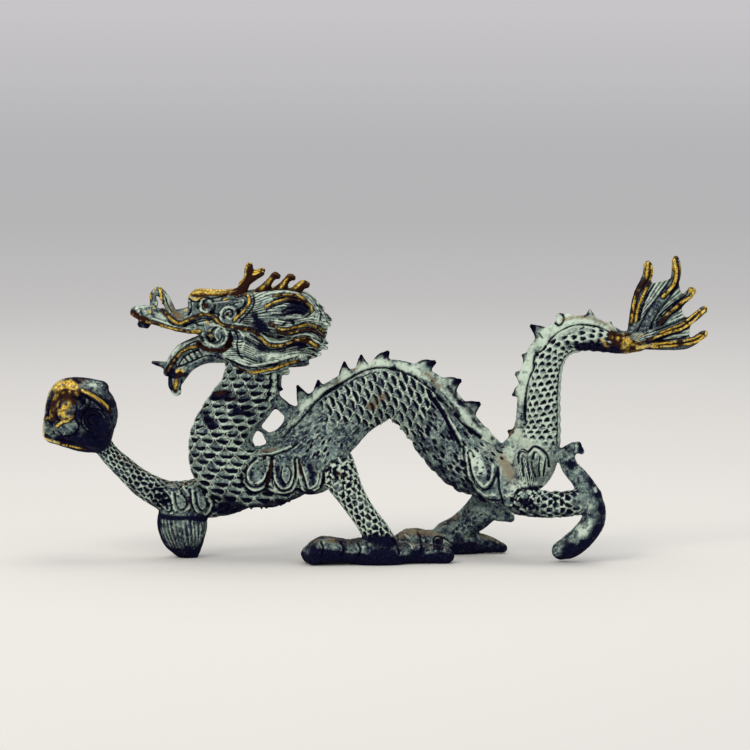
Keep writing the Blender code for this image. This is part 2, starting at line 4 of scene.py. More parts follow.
import bpy
import numpy as np
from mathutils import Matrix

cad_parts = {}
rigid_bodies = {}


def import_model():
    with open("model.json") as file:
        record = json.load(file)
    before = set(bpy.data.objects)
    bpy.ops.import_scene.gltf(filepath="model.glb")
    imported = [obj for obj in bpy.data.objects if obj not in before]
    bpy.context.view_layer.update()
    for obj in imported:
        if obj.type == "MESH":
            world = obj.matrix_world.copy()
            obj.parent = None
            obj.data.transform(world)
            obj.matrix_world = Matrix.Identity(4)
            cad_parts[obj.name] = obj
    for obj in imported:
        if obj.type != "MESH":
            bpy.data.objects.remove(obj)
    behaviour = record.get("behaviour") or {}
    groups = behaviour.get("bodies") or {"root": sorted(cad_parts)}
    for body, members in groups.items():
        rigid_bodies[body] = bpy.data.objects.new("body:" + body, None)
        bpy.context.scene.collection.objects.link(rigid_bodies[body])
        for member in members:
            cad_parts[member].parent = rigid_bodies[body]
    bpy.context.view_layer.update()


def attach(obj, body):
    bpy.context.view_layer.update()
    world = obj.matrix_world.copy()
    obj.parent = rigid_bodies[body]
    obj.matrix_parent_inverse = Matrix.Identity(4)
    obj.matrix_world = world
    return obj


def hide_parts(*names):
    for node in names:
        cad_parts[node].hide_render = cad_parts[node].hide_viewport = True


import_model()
print("stage 1: frame loaded")

mm = 0.001
random = np.random.default_rng(11)
lattice = random.random((32, 32, 32))      # random grid that every cloud and jitter is read from
sightTilt = math.radians(6)                # the camera looks down this far, and so do the carved lines
surface = {
    "grain": 0.36,  # grid of the casting, in millimetres
    "smoothing": 8,                        # rounds of smoothing that leave soft fillets
    "roughness": 0.07,                     # height of the cast skin's unevenness
    "inset": 0.22,                         # room kept for rims that stand above the skin
    "reach": 4.0,                          # how far a form looks for its own surface
    "guideStep": 0.7,                      # spacing of the points that a form is measured from
    "barSteps": 7,                         # points between two given points of a bar
    "domeAngles": (80, 53, 27),            # rings that round off the end of a bar
    "barRound": 5,                         # how finely a bar is rounded
    "padSegments": 40,
    "padRings": 24,
    "batch": 20000,                        # points measured at one time
}
cuts = {                                   # where the casting is divided into pieces, in millimetres
    "shoulder": -14, "throat": 63.3, "elbow": -58, "haunch": 42, "tailRoot": 41, "loin": 12,
}

# Forms, in millimetres: bars are x, y, z, radius, or x, z, radius on the middle plane
bodyForm = {
    "line": ((-42.1, 68.3, 9), (-43.3, 58.6, 10), (-50, 49.5, 9.8), (-53.4, 41.2, 10.6),
        (-51.2, 32.3, 11.8), (-42.4, 28.2, 11), (-29.9, 31.6, 11.3), (-16.4, 44.2, 11.4), (-6.2, 52.5, 9.8),
        (5.4, 57.1, 9.2), (15.7, 52.3, 10.2), (23.6, 42.6, 10.4), (32, 33.8, 10.4), (43.2, 29, 9.9),
        (53, 32.4, 9.4), (56.8, 40.4, 7.6), (57.9, 48, 6.5), (58.2, 56.4, 6.1), (58.8, 63.6, 5.9),
        (60.4, 69.4, 5.4), (64.6, 74.6, 5), (71.6, 76.8, 4.9), (78.4, 75.9, 4.4), (84.9, 74.6, 3.8),
        (91.1, 75, 3.4)),
    "depth": 0.94,
}

backForm = {
    "spines": ((-26.9, 60.6, 2.1, 0.3), (-19.5, 62.6, 2, 0.8), (-10.5, 69, 2.1, 1.2),
        (-4.7, 71.3, 2.1, 0.7), (4.9, 72.6, 2.6, 3.2), (10.1, 69, 1.9, 0.5), (21.4, 68.9, 2.8, 3),
        (21.8, 63.4, 1.9, 0), (30.3, 62.4, 2.9, 1.6), (28.9, 56.6, 1.9, 0), (36.9, 54.4, 2.9, 1.2),
        (36, 48.4, 1.8, 0), (39.6, 45.6, 2.8, -0.6), (45.6, 44.8, 2.2, -0.6), (46.9, 56.6, 2.2, -2.2),
        (48, 64.4, 2.9, 0.4), (50.3, 71.1, 2, 0.4), (53.2, 81.4, 2.3, -0.8), (63, 85.6, 3.7, -0.6),
        (74, 86.9, 2, -0.6), (81.6, 82.6, 1.8, 0)),
    "finRise": 0.7,
    "finRadius": 2.4,
    "finDepth": 0.62,
    "finSink": 0.5,
    "finStart": 7,
    "spineRoot": 1.9,
    "spineWaist": 1.1,
    "spineTip": 0.45,
    "waistPlace": 0.5,
    "waistLean": 0.25,
    "neckEnd": 4,
    "neckSink": 0.4,
    "neckRadius": 1.6,
    "saddleAt": 43,                        # the fin is low here
    "saddleWidth": 7,
    "saddleDip": 0.66,
    "fadeAt": 92,                          # it thins out towards here
    "fadeLength": 20,
    "fadeLeast": 0.3,
    "barbs": (((-34.8, 59.8, 1.7), (-31.9, 58.8, 0.8)),),
    "bridge": ((-37.2, 0, 56.8, 3.2), (-33, 0, 54.2, 2.5), (-29, 0, 51, 2.7), (-25.4, 0, 50.4, 2.6)),
    "holeBridge": ((-41.4, 0, 46.6, 1.3), (-38.2, 0, 44, 1.2), (-36, 0, 41.8, 2.2)),
    "holeEdge": ((-28.8, 0, 50.4, 2.2), (-29.8, 0, 46.6, 2.2), (-32.4, 0, 43.6, 2.2), (-35, 0, 42.4, 2)),
}

limbForm = {
    "arm": ((-35.5, 6, 23.6, 6.9), (-44, 6, 23, 6.4), (-50.5, 5.4, 21.2, 6.9), (-57.9, 4.5, 20.8, 7.5),
        (-65.5, 2.5, 20.8, 6.3), (-72.5, 1, 21.9, 5.6), (-80, 0, 26, 4.8), (-85.9, 0, 31.1, 4.1),
        (-91.3, 0, 36.2, 3.6), (-95, 0, 41.5, 3.6)),
    "elbowTuft": ((-66.8, 2, 18.5, 7.9), (-66.6, 2, 12.6, 9), (-65.8, 2, 7.4, 8.2), (-64.6, 2, 3.2, 5.8),
        (-63.4, 2, -0.6, 2.6)),
    "tuftDepth": 0.62,
    "legNearFront": ((-17.7, -5, 38, 8.2), (-13.7, -7.6, 33, 7.4), (-10.2, -9.4, 27, 5.9),
        (-7.2, -10.8, 22, 5), (-3.2, -11.8, 16.2, 4.6), (0.6, -12.4, 10.4, 5.1), (2.5, -12.8, 6.5, 5.6)),
    "legFarHind": ((43.3, 4, 29, 8.4), (41.4, 7.4, 22, 7), (36.8, 9.6, 15.2, 5.9), (30.4, 11.6, 9.4, 5.2),
        (25, 12.6, 6, 5.4)),
    "legNearHind": ((43, -5, 27.5, 8.4), (50, -9, 22.6, 6.6), (57, -11.4, 20.6, 5.1),
        (65, -12.4, 20.6, 4.8), (71.6, -12.2, 21.4, 4.7), (74.8, -11.6, 20.2, 4.3), (75.1, -11, 14.8, 4.4),
        (71.9, -10.2, 9.6, 4.5), (67.4, -9.4, 5.6, 4.4), (64.2, -8.6, 4, 3.6)),
    "upperToe": ((74.2, -11, 22.6, 4.4), (71, -8.4, 28.2, 3.6), (67.2, -6, 32.6, 3.2),
        (66.2, -4.6, 36.6, 3), (68.4, -5, 39, 2.4)),
    "upperClaw": ((66, -4.4, 36.4, 2.8), (62.6, -3, 36.4, 3)),
    "upperNail": ((70, -5.4, 40.4, 1.4), (71.2, -5.4, 37.8, 1.3)),
    "shoulderPad": ((-22, -5, 31.4), (10, 6.4, 8.8)),
    "kneeSpur": ((43, 7, 14.8, 3.2), (47, 7, 13.2, 2)),
    "haunchTuft": ((50.5, -8.6, 36, 3), (52, -9.6, 31.5, 4.2), (53, -10, 27, 3.8)),
    "haunchTuftDepth": 0.7,
}

footForm = {
    "nearPalm": ((1, -12.9, 3.4), (12.4, 6.6, 5.2)),
    "nearHeel": ((-2, -12.6, 4.4, 4.2), (9, -12, 3.8, 4.1), (18, -11.6, 3.4, 3.7), (24.4, -11.4, 2.6, 3.3)),
    "nearToe": ((-2, 5, 4.2), (-8.6, 4.4, 4), (-13.2, 4.8, 4.3), (-17.4, 4.7, 4.5), (-20.6, 3.4, 3.7)),
    "nearRows": (-16.1, -12.3, -8.2),
    "farPalm": ((26, 12.9, 3.4), (14, 6.4, 5.4)),
    "farHeel": ((26, 12.8, 4.6, 4.6), (34, 12.6, 4, 4), (40.4, 12.4, 3, 3), (44.6, 12.2, 1.8, 2)),
    "farToe": ((27, 4.6, 4.2), (19, 4.2, 3.9), (13.6, 4.8, 3.9), (9.6, 3.6, 3.3)),
    "farRows": (8.4, 12.5, 16.4),
    "shifts": (0, -1.2, -0.4),
    "rootSpread": 0.6,
}

tongueForm = {
    "shoulder": ((-40.6, 35.5, -40.6, 26.8, 4, -10.6), (-30.9, 35.5, -30.9, 26, 4.2, -11.2),
        (-21.9, 34, -21.9, 27.4, 3.8, -11.4)),
    "elbow": ((-76, 25, -70.4, 17.4, 2.9, -2.6), (-69.4, 24.6, -66.4, 18.4, 3.2, -3.4),
        (-62.6, 24, -60.6, 17.8, 3.4, -3.2)),
    "haunch": (35.4, 34.5, 37.9, 27, 3.8, -10.2),
    "depth": 0.45,
    "topShare": 0.7,                       # radius at the top against the tip
    "tipLift": 0.4,
}

pearlForm = {
    "core": ((-100.2, 0, 50.2), (12, 9.8, 12.2)),
    "boss": ((-104.2, -6.2, 50.6), (6.8, 5.4, 6.8)),
    "rim": ((-94, 59.2, 2.8), (-99, 61, 2), (-105, 61.2, 2), (-109.2, 59.2, 2), (-111.2, 55, 2.1),
        (-111.8, 49.4, 2.3), (-112.2, 43.2, 2.4), (-108.4, 41.4, 2.3), (-101.6, 39.4, 2.4), (-95.4, 39.4, 3)),
    "rimDepth": 1.6,
    "grip": ((-93.4, 3, 41.6, 3), (-92.4, 8.4, 47.4, 2.7), (-95.6, 9.8, 54.4, 2.3), (-100.6, 8.4, 58.6, 1.7)),
    "lower": ((-94.4, 3, 40.6, 2.8), (-99.4, 7.6, 42, 2.4), (-105.4, 8.4, 44.2, 1.8)),
}

headForm = {
    "snout": ((-46, 0, 81.5, 8.4), (-54, 0, 82.2, 6.9), (-61, 0, 83, 5.4), (-67.3, 0, 82.9, 3.9),
        (-73, 0, 83.6, 3.4), (-78.4, 0, 84.9, 3), (-82, 0, 85.6, 2.3)),
    "snoutDepth": 1.35,
    "jaw": ((-47, 0, 74, 6.4), (-53, 0, 73.4, 5.8), (-59, 0, 72.2, 5), (-64, 0, 69.2, 4.3),
        (-67.2, 0, 65, 3.7), (-68.7, 0, 60.8, 2.8), (-68.2, 0, 58.2, 2)),
    "upperLip": ((-62.8, 5.6, 79.6, 1.5), (-68, 4.8, 80.4, 1.4), (-74, 4.2, 82.2, 1.4),
        (-80, 3.2, 83.8, 1.5)),
    "tooth": ((-80.2, 3, 81.7, 1.6), (-78.2, 3, 81.2, 1.4)),
    "noseCurl": ((-69.4, 3.2, 84.4, 1.7), (-71.2, 3.2, 88.8, 1.6), (-73, 3.2, 91.8, 1.5),
        (-75.2, 3.2, 92.8, 1.3), (-76.2, 3.2, 91, 1.2), (-75.8, 3.2, 87.8, 1.5)),
    "brow": ((-62.7, 4.2, 88, 1.7), (-61.3, 4.6, 90.7, 2.6), (-57, 5, 91, 2.3), (-51, 5.2, 91.3, 1.8)),
    "horn": ((-51, 5.2, 91.3, 1.8), (-45.3, 5.4, 93, 1.5), (-43.6, 5.8, 97.6, 1.6), (-43.2, 6.2, 100.9, 1.6)),
    "hornBranch": ((-45.6, 5.5, 94.6, 1.6), (-42, 5.8, 97.6, 1.6), (-38.6, 6, 99.4, 1.3)),
    "eye": ((-57.7, 6, 87), (2.2, 2, 2.1)),
    "ear": ((-52, 7.4, 85.2, 1.6), (-48.2, 8.8, 88.2, 2), (-44, 9.8, 89.8, 1.9), (-43.6, 9.4, 87.6, 1.4)),
    "cheek": ((-49.6, 6.8, 83.6), (3.6, 2.4, 3.4)),
    "mouthCurl": ((-58.4, 5.4, 79.6, 1.5), (-54.6, 6.2, 80.4, 1.7), (-52, 6.6, 77.4, 2),
        (-54.4, 6.2, 73.8, 2), (-58.2, 5.4, 74.8, 1.4)),
    "barb": ((-70, 2.4, 66.6, 1.6), (-74, 2.4, 67.6, 1), (-76.6, 2.4, 68.2, 0.6)),
    "jawLip": ((-60.6, 3.8, 76, 1.5), (-65.2, 3.6, 73.8, 1.5), (-68.2, 3.2, 71.2, 1.5),
        (-70.4, 2.6, 67.8, 1.4), (-71.4, 2, 64.8, 1.6)),
}

maneForm = {
    "core": ((-34.4, 0, 80.4), (15.4, 10.2, 11.4)),
    "locks": (((-47, 6.6, 89.6, 2), (-40, 7.6, 90.8, 2.4), (-30, 8.6, 91.2, 2.8), (-23.4, 9, 89.4, 2.2),
        (-20.6, 9, 87.4, 1.5), (-17.8, 9, 85.8, 0.9)), ((-44, 9, 88, 2.6), (-36, 10.8, 88.6, 3.4),
        (-27.6, 11.2, 86.4, 3.2), (-21, 10.4, 84.6, 2), (-17.6, 9.6, 83.6, 1.2), (-15.6, 9.4, 82, 1.2)),
        ((-44, 9.2, 84, 2.8), (-36, 11.4, 82.8, 3.6), (-27.6, 11.4, 80.6, 3), (-21.6, 10.4, 79.8, 2),
        (-18.6, 9.6, 78.2, 1.3), (-17, 9.4, 77, 0.9)), ((-51.6, 7.6, 80.6, 1.6), (-44, 9.4, 79, 2.2),
        (-37.4, 10.6, 75.8, 2.6), (-30.6, 10.6, 74.6, 2.4), (-23.6, 9.8, 76, 2), (-18.6, 8.8, 74.8, 1.4),
        (-16.5, 8.8, 74, 0.9)), ((-46, 8, 75.6, 3), (-38.6, 9.4, 72.4, 3), (-30, 9.4, 70.8, 2.6),
        (-22.8, 8.8, 71.2, 1.6), (-18.8, 8.6, 71.8, 1)), ((-50, 6.8, 71.8, 2.6), (-43, 8, 68, 2.4),
        (-36, 8, 67, 2), (-29.4, 7.4, 68.2, 1.5), (-23.4, 7.6, 68.7, 1.4))),
    "curls": (((-40.4, 2.6, 91.4, 2.2), (-37.6, 2.8, 94, 1.8), (-35.8, 3, 96.4, 1.3), (-34.3, 3, 98.2, 1.3),
        (-32.9, 3, 97.8, 1)), ((-34.2, 2.6, 91.8, 2.2), (-31.8, 2.8, 94, 1.9), (-30.3, 2.8, 96.2, 1.4),
        (-29, 2.8, 97.7, 1.3), (-27.7, 2.8, 97.2, 1)), ((-29, 2.2, 91, 2.4), (-26.6, 2.4, 93.2, 2),
        (-24.6, 2.4, 95, 1.7), (-23.2, 2.4, 94.9, 1.3))),
    "crest": ((-46, 0, 89.4, 2.6), (-38, 0, 90.8, 2.6), (-28, 0, 90.6, 2.6), (-20.6, 0, 86.6, 2.2),
        (-17.6, 0, 81, 1.8), (-18.8, 0, 75, 1.6)),
    "tuft": ((-33.6, 0, 69, 2.6), (-30.4, 0, 65, 1.6)),
}

fanForm = {
    "stem": ((86, 74.6, 3.8), (91.4, 75.6, 3.6), (95.2, 77, 3)),
    "stemDepth": 1.1,
    "fingers": (((88.6, 75, 2.2), (89.2, 84, 1.8), (90.6, 91.4, 1.8), (93.6, 97.4, 2), (94, 101.4, 1.9)),
        ((91, 76, 2), (95.2, 85, 1.7), (100, 91.6, 1.7), (103.1, 96.4, 1.9), (103.7, 100.6, 1.9),
        (103.4, 103.5, 1.6)), ((93, 76.8, 2), (99.4, 82.6, 1.7), (105.4, 88.8, 1.8), (109.2, 92.6, 1.8)),
        ((94.2, 76.4, 2), (102, 79.6, 1.7), (108.4, 82.6, 1.7), (113.2, 86.4, 1.6)), ((93.6, 74.4, 2.2),
        (100.4, 73.8, 1.8), (107.6, 74.4, 1.8), (113.4, 77.9, 1.6))),
    "ribCentre": (84, 74.5),
    "lift": (0.8, -0.8, 0.9, -0.7, 0.6),
    "webShare": (0.66, 0.74, 0.66, 0.72),
    "webThickness": 1.8,
}

photograph = {                             # where the dragon stands in the picture
    "scale": 2.891,                        # pixels to a millimetre
    "middle": 374.5,                       # column of the dragon's middle
    "ground": 558.4,                       # row of the ground under it
}


def toMillimetres(points):
    # pixels as millimetres across and up, to a tenth
    scale = photograph["scale"]
    return [(round((x - photograph["middle"]) / scale, 1), round((photograph["ground"] - y) / scale, 1))
            for x, y in points]


def enlarged(left, top, zoom):
    # takes points read in an enlarged part of the picture
    return lambda *points: tuple((left + x / zoom, top + y / zoom) for x, y in points)


def moved(points, across, down):
    return tuple((x + across, y + down) for x, y in points)


def ringOf(x, y, radius, start=0, end=360, steps=10):
    turns = [math.radians(start + (end - start) * i / steps) for i in range(steps + 1)]
    return tuple((x + radius * math.cos(turn), y + radius * math.sin(turn)) for turn in turns)


shoulderView = enlarged(225, 440, 13.067)
neckView = enlarged(180, 370, 8.2526)
headView = enlarged(125, 255, 7.4667)
longRidge = ((163, 305), (165, 311), (170, 317), (176, 322), (182, 324), (189, 321), (198, 317),
    (204, 315), (210, 315), (215, 317), (220, 323), (225, 326), (235, 328), (244, 329.5), (252, 331),
    (258, 335), (263, 339), (269, 345), (275, 346.5), (282, 346), (289, 344), (296, 341), (304, 339),
    (310, 340), (313.5, 344), (319, 347))
topLock = ((267, 308), (273, 304.5), (279, 302), (287, 299.5), (295, 300), (301, 301))
backLock = ((276, 297), (288, 295.5), (298, 296), (304, 299), (308, 304), (313, 308.5), (312, 312.5))
midLock = ((272, 324), (278, 328), (281, 330), (289, 330), (298, 327.5), (309, 325.5), (318, 328),
    (324, 332))
lowLock = ((227, 363.5), (237, 368), (248, 372), (255, 372.3), (263, 371), (275, 369), (283, 366),
    (291, 363.5), (299, 361))

# Lines that are carved and painted on both flanks: kind, width in millimetres, then pixels of the picture
carvedLines = {
    "shoulder": {"on": ("body", "limb", "tongue"), "lines": (
        ("ridge", 0.42, *shoulderView((400, 250), (320, 330), (268, 440), (268, 530), (320, 610),
            (400, 650), (480, 630), (560, 570))),
        ("ridge", 0.36, *shoulderView((440, 255), (360, 320), (305, 420), (320, 500), (380, 550),
            (450, 545), (520, 490), (560, 400), (585, 270))),
        ("groove", 0.5, *shoulderView((420, 230), (340, 300), (285, 400), (285, 520), (330, 585),
            (400, 610), (480, 590), (550, 520), (575, 440))),
        ("groove", 0.7, *shoulderView((615, 215), (605, 330), (595, 480), (560, 600))),
        ("groove", 0.5, *shoulderView((235, 450), (235, 540), (300, 640), (400, 685), (520, 650),
            (600, 680), (750, 715), (880, 690), (950, 640), (1040, 690), (1160, 690), (1265, 620))),
        ("ridge", 0.38, *shoulderView((655, 260), (650, 420), (680, 540), (760, 622), (850, 600),
            (900, 500), (912, 380), (890, 250))),
        ("ridge", 0.42, *shoulderView((600, 570), (660, 640), (750, 678), (860, 660), (920, 590),
            (955, 450), (945, 260))),
        ("groove", 0.45, *shoulderView((630, 300), (628, 450), (650, 560), (740, 652), (860, 630),
            (912, 550), (935, 400), (930, 235))),
        ("groove", 0.3, *shoulderView((760, 340), (740, 460), (790, 560), (850, 540), (880, 420),
            (840, 330))),
        ("ridge", 0.34, *shoulderView((990, 290), (1050, 440), (1090, 580), (1125, 622), (1200, 560),
            (1225, 480), (1235, 400))),
        ("ridge", 0.36, *shoulderView((950, 250), (968, 400), (1000, 560), (1040, 655), (1150, 655),
            (1245, 600), (1262, 420))),
        ("groove", 0.55, *shoulderView((975, 250), (1000, 400), (1045, 540), (1070, 630))),
        ("groove", 0.5, *shoulderView((1292, 400), (1285, 520), (1265, 600))),
        ("groove", 0.36, *shoulderView((470, 200), (560, 190), (620, 190), (700, 160), (830, 120),
            (940, 50))),
        ("brownWash", 0.4, *shoulderView((615, 250), (608, 330), (598, 470), (572, 560))),
        ("brownWash", 0.36, *shoulderView((972, 270), (1000, 390), (1040, 520))),
        ("shade", 0.9, (266, 431), (267, 434), (268, 438)),
        ("shade", 0.9, *shoulderView((360, 420), (370, 520), (420, 580))),
        ("shade", 0.9, *shoulderView((700, 350), (710, 470), (780, 570))),
        ("shade", 1, *shoulderView((1110, 330), (1140, 450), (1150, 540))),
        ("ridge", 0.3, *shoulderView((480, 175), (620, 165), (760, 120), (860, 75))),
    )},
    "back": {"on": ("body", "fin", "spine"), "lines": (
        ("groove", 0.45, (283, 436), (290, 428), (300, 419), (307, 411), (320, 397), (336, 386.5),
            (350, 378), (363, 371), (375, 368), (386, 367.5), (399, 370), (411, 375), (422, 381.5),
            (438, 395), (456, 413), (470, 428), (480, 437)),
        ("bloom", 0.9, (283, 431), (290, 423), (299, 414.5), (305, 407), (318, 393), (334, 382.5)),
        ("bloom", 1.3, (334, 382.5), (349, 374), (363, 366.5), (375, 363.5), (386, 363), (400, 365.4),
            (413, 370.6), (424, 377)),
        ("bloom", 0.6, (441, 391), (459, 409), (473, 424)),
        ("shade", 1, (448, 387), (453, 393), (459, 402)),
        ("shade", 1.1, (461, 403), (467, 408), (472, 413)),
        ("shade", 0.9, (473, 419), (479, 427), (485, 436)),
        ("shade", 1.1, (385, 357), (388, 352)),
        ("shade", 1.2, (429, 365), (435, 361)),
        ("shade", 1.3, (454, 384), (461, 380)),
        ("shade", 1.3, (473, 405), (480, 402)),
        ("shade", 0.8, (344, 366), (344, 362)),
        ("shade", 0.8, (361, 360), (361, 356)),
        ("groove", 0.62, (431, 396), (440, 409), (449, 426), (456, 438), (460, 446)),
        ("shade", 0.6, (434, 399), (442, 411), (450, 426), (458, 442)),
        ("ridge", 0.4, (435, 396), (444, 409), (453, 426), (460, 438)),
        ("groove", 0.55, (439, 398), (447, 406), (456, 415), (467, 426), (481, 436)),
        ("bloom", 0.5, (444, 402), (455, 412), (466, 421), (480, 430)),
    )},
    "neck": {"on": ("body", "fin", "spine"), "lines": (
        ("groove", 0.45, (272, 374), (272, 385), (270, 394), (267, 401)),
        ("ridge", 0.4, (275, 374), (275.4, 386), (273.5, 395), (271, 401)),
        ("groove", 0.5, (279, 376), (279.5, 387), (284, 397), (290, 404)),
    )},
    "tail": {"on": ("body", "fin", "spine"), "lines": (
        ("groove", 0.34, (524, 425), (524, 410), (524.8, 394), (526.5, 384), (529, 376), (532, 368),
            (532, 361), (535, 354), (543, 348), (551, 337), (562, 329), (573, 325.5), (588, 325),
            (603, 329), (614, 336)),
        ("bloom", 2.4, (519, 420), (519, 404), (521, 385), (525, 365), (532, 349), (545, 334), (566, 322),
            (590, 319), (608, 326)),
        ("rust", 0.6, (508, 436), (514, 424)),
        ("groove", 0.4, (553.5, 322), (553, 318), (555, 314), (558.5, 312.5), (561.5, 315), (562, 319),
            (560.5, 323), (557, 325.5), (554, 323.5)),
        ("bloom", 0.6, (557, 317), (557.5, 321)),
        ("shade", 0.7, (529, 326), (531, 331), (534, 338)),
        ("shade", 0.5, (538, 334), (541, 338)),
        ("shade", 0.6, (521, 356), (523, 360)),
        ("shade", 0.6, (514, 372), (515, 379), (519, 384)),
        ("shade", 0.7, (510, 396), (513, 400), (517, 405)),
        ("shade", 0.7, (584, 316), (588, 313)),
        ("bloom", 0.6, (587, 309), (589, 312)),
        ("rust", 1, (560, 320), (580, 317), (600, 322), (612, 330)),
        ("shade", 2, (592, 346), (604, 348), (616, 350), (630, 350), (640, 348)),
        ("brownWash", 2.2, (612, 336), (620, 340), (630, 344)),
    )},
    "stain": {"on": ("body", "fin", "spine", "limb", "tongue", "claw", "tuft"), "lines": (
        ("rust", 2, (375, 402), (383, 396)),
        ("rust", 1.2, (369, 406), (373, 408)),
        ("rust", 1.6, (338, 472), (344, 475)),
        ("cream", 5, (489, 444), (499, 454), (507, 466), (512, 480)),
        ("cream", 2.4, (516, 432), (524, 440), (530, 446)),
        ("cream", 2, (502, 459), (505, 466), (508, 473)),
        ("rust", 0.6, (326, 386), (334, 384), (340, 378)),
        ("rust", 0.6, (352, 370), (358, 368), (361, 362)),
        ("rust", 1.1, (426, 374), (432, 379), (438, 386)),
        ("rust", 0.8, (412, 386), (415, 389)),
        ("rust", 0.8, (262, 452), (268, 449), (276, 448)),
        ("shade", 1.9, (214, 396), (226, 394), (237, 398)),
        ("shade", 1.7, (205, 412), (212, 424)),
        ("shade", 1.1, (236, 410), (249, 414)),
        ("brownWash", 0.6, (217, 393.5), (225, 392.5)),
        ("shade", 2.6, (222, 508), (250, 511), (280, 507), (310, 498)),
        ("clean", 3.4, (228, 432), (236, 446), (244, 460)),
        ("clean", 2.4, (240, 478), (250, 486), (258, 492)),
        ("clean", 3.4, (298, 440), (312, 436), (326, 430)),
        ("clean", 2.8, (318, 450), (332, 444), (344, 436)),
    )},
    "elbow": {"on": ("limb", "tongue", "body"), "lines": (
        ("groove", 0.4, (156, 488), (163, 489.5), (169.5, 497), (172.5, 507), (170, 512.5), (163.5, 510),
            (157, 501), (155, 492)),
        ("ridge", 0.4, (150, 497.5), (155, 506), (160, 512), (168, 516), (173, 513)),
        ("groove", 0.34, (160, 494), (165, 500), (168, 508)),
        ("shade", 1.2, (160, 495), (165, 502)),
        ("ridge", 0.4, *neckView((30, 960), (80, 1040), (92, 1110), (50, 1172), (0, 1182), (-50, 1120),
            (-60, 1010))),
        ("groove", 0.4, *neckView((15, 990), (60, 1060), (68, 1110), (35, 1150), (0, 1152), (-30, 1100),
            (-35, 1020))),
        ("ridge", 0.42, *neckView((105, 1000), (122, 1120), (170, 1192), (230, 1182), (262, 1110),
            (240, 1050))),
        ("groove", 0.4, *neckView((135, 1010), (150, 1110), (185, 1160), (220, 1150), (238, 1105),
            (222, 1060))),
        ("groove", 0.5, *neckView((85, 985), (100, 1110), (150, 1200), (230, 1212), (285, 1120),
            (265, 1040))),
    )},
    "haunch": {"on": ("body", "limb", "tongue", "tuft"), "lines": (
        ("groove", 0.5, (467, 452), (468, 462), (470, 474), (475, 484), (483, 490), (490, 484), (494, 474),
            (496, 466)),
        ("ridge", 0.4, (470, 452), (471, 464), (474, 475), (479, 483), (483, 485.5), (488, 481),
            (491, 472), (492, 464)),
        ("groove", 0.4, (463, 446), (464, 462), (467, 478), (474, 491), (484, 499), (497, 500)),
        ("groove", 0.5, (497, 466), (497, 478), (498, 490), (501, 502)),
        ("ridge", 0.35, (466, 450), (467, 464), (470, 478), (477, 489), (485, 494.5), (493, 494)),
        ("groove", 0.38, (520, 457), (521, 466), (522, 475)),
        ("groove", 0.34, (533, 452), (531, 463), (534, 476)),
        ("groove", 0.34, (545, 458), (544, 467), (543, 476)),
        ("groove", 0.26, (526, 458), (527, 467), (528, 475)),
        ("groove", 0.26, (539, 456), (538, 466), (539, 476)),
        ("ridge", 0.3, (519, 457), (521, 453), (525, 455)),
        ("ridge", 0.3, (528, 455), (533, 449), (539, 452), (544, 459)),
        ("groove", 0.4, (517, 462), (517, 453), (521, 449.5), (527, 451), (533, 446), (541, 449),
            (547, 456), (548.5, 466)),
        ("groove", 0.45, (510, 499), (516, 491), (521, 487), (530, 486), (544, 488), (553, 489), (575, 489)),
        ("bloom", 0.7, (521, 483.5), (532, 482.5), (545, 484)),
        ("shade", 0.9, (484, 462), (486, 469)),
        ("shade", 0.8, (488, 472), (487, 478)),
        ("shade", 0.8, (480, 474), (483, 479)),
        # painted highlight: a bright glare on the pale leaf
        ("bloom", 2.8, (473, 455), (477, 466), (479, 472)),
        ("bloom", 1.6, (474, 457), (477, 466)),
        ("bloom", 1, (523, 480), (512, 486), (506, 494)),
    )},
    "head": {"on": ("head", "mane"), "lines": (
        ("brownRoll", 0.44, *longRidge),
        ("goldTrim", 0.34, *longRidge[2:6]),
        ("goldTrim", 0.2, *longRidge[9:13]),
        ("goldTrim", 0.34, *longRidge[16:21]),
        ("goldTrim", 0.3, (297, 340.5), (300, 340)),
        ("goldTrim", 0.3, (311, 342), (314, 344), (317, 346)),
        ("groove", 0.3, *moved(longRidge[2:14], 0, 4)),
        ("groove", 0.3, *moved(longRidge[14:], -0.5, 4)),
        ("ridge", 0.28, *moved(longRidge[12:], 1, -4)),
        ("goldRoll", 0.42, (163, 305), (163, 300), (163, 295), (161.5, 290), (158, 287), (155, 287),
            (152, 290), (151, 294), (152.5, 299)),
        ("goldWash", 0.4, (163, 295), (163, 300)),
        ("goldWash", 0.5, (155, 290), (155, 292)),
        ("groove", 0.26, (166.5, 294), (168, 299), (170, 306), (174, 312)),
        ("bloom", 0.5, (168, 292), (169.5, 298), (171, 303)),
        ("ridge", 0.4, (138, 307.5), (146, 306.5), (152, 306.5)),
        ("bloom", 0.6, (138, 309), (140, 311)),
        ("bloom", 0.6, (146, 310), (148, 313)),
        ("brownWash", 1.2, (134, 313), (140, 317.5), (148, 320.5)),
        ("goldWash", 0.4, (151, 311), (151.5, 313)),
        ("goldWash", 0.4, (156, 307), (157, 309)),
        ("ridge", 0.35, (158.5, 303.5), (159.5, 304.5)),
        ("groove", 0.26, (155.5, 305), (158, 307.5), (161.5, 307)),
        ("groove", 0.26, (142, 311), (144, 316), (149, 319)),
        ("rust", 1.9, (170, 307), (176, 312), (181, 317)),
        ("bloom", 1.4, (158, 313), (165, 318), (171, 323)),
        ("goldWash", 0.5, (186.5, 310), (187.5, 310)),
        ("shade", 1.3, (141, 325), (150, 326.5)),
        ("brownRoll", 0.5, (133, 314), (139, 318.5), (147, 322), (154, 323.5), (163, 326)),
        ("brownRoll", 0.42, (163, 326), (174, 329), (184, 331), (193, 333), (201, 332.5)),
        ("goldTrim", 0.2, (171, 328), (178, 330), (184, 331)),
        ("goldWash", 0.4, (194, 332), (201, 332)),
        ("goldWash", 0.4, (209, 331.5), (211, 332)),
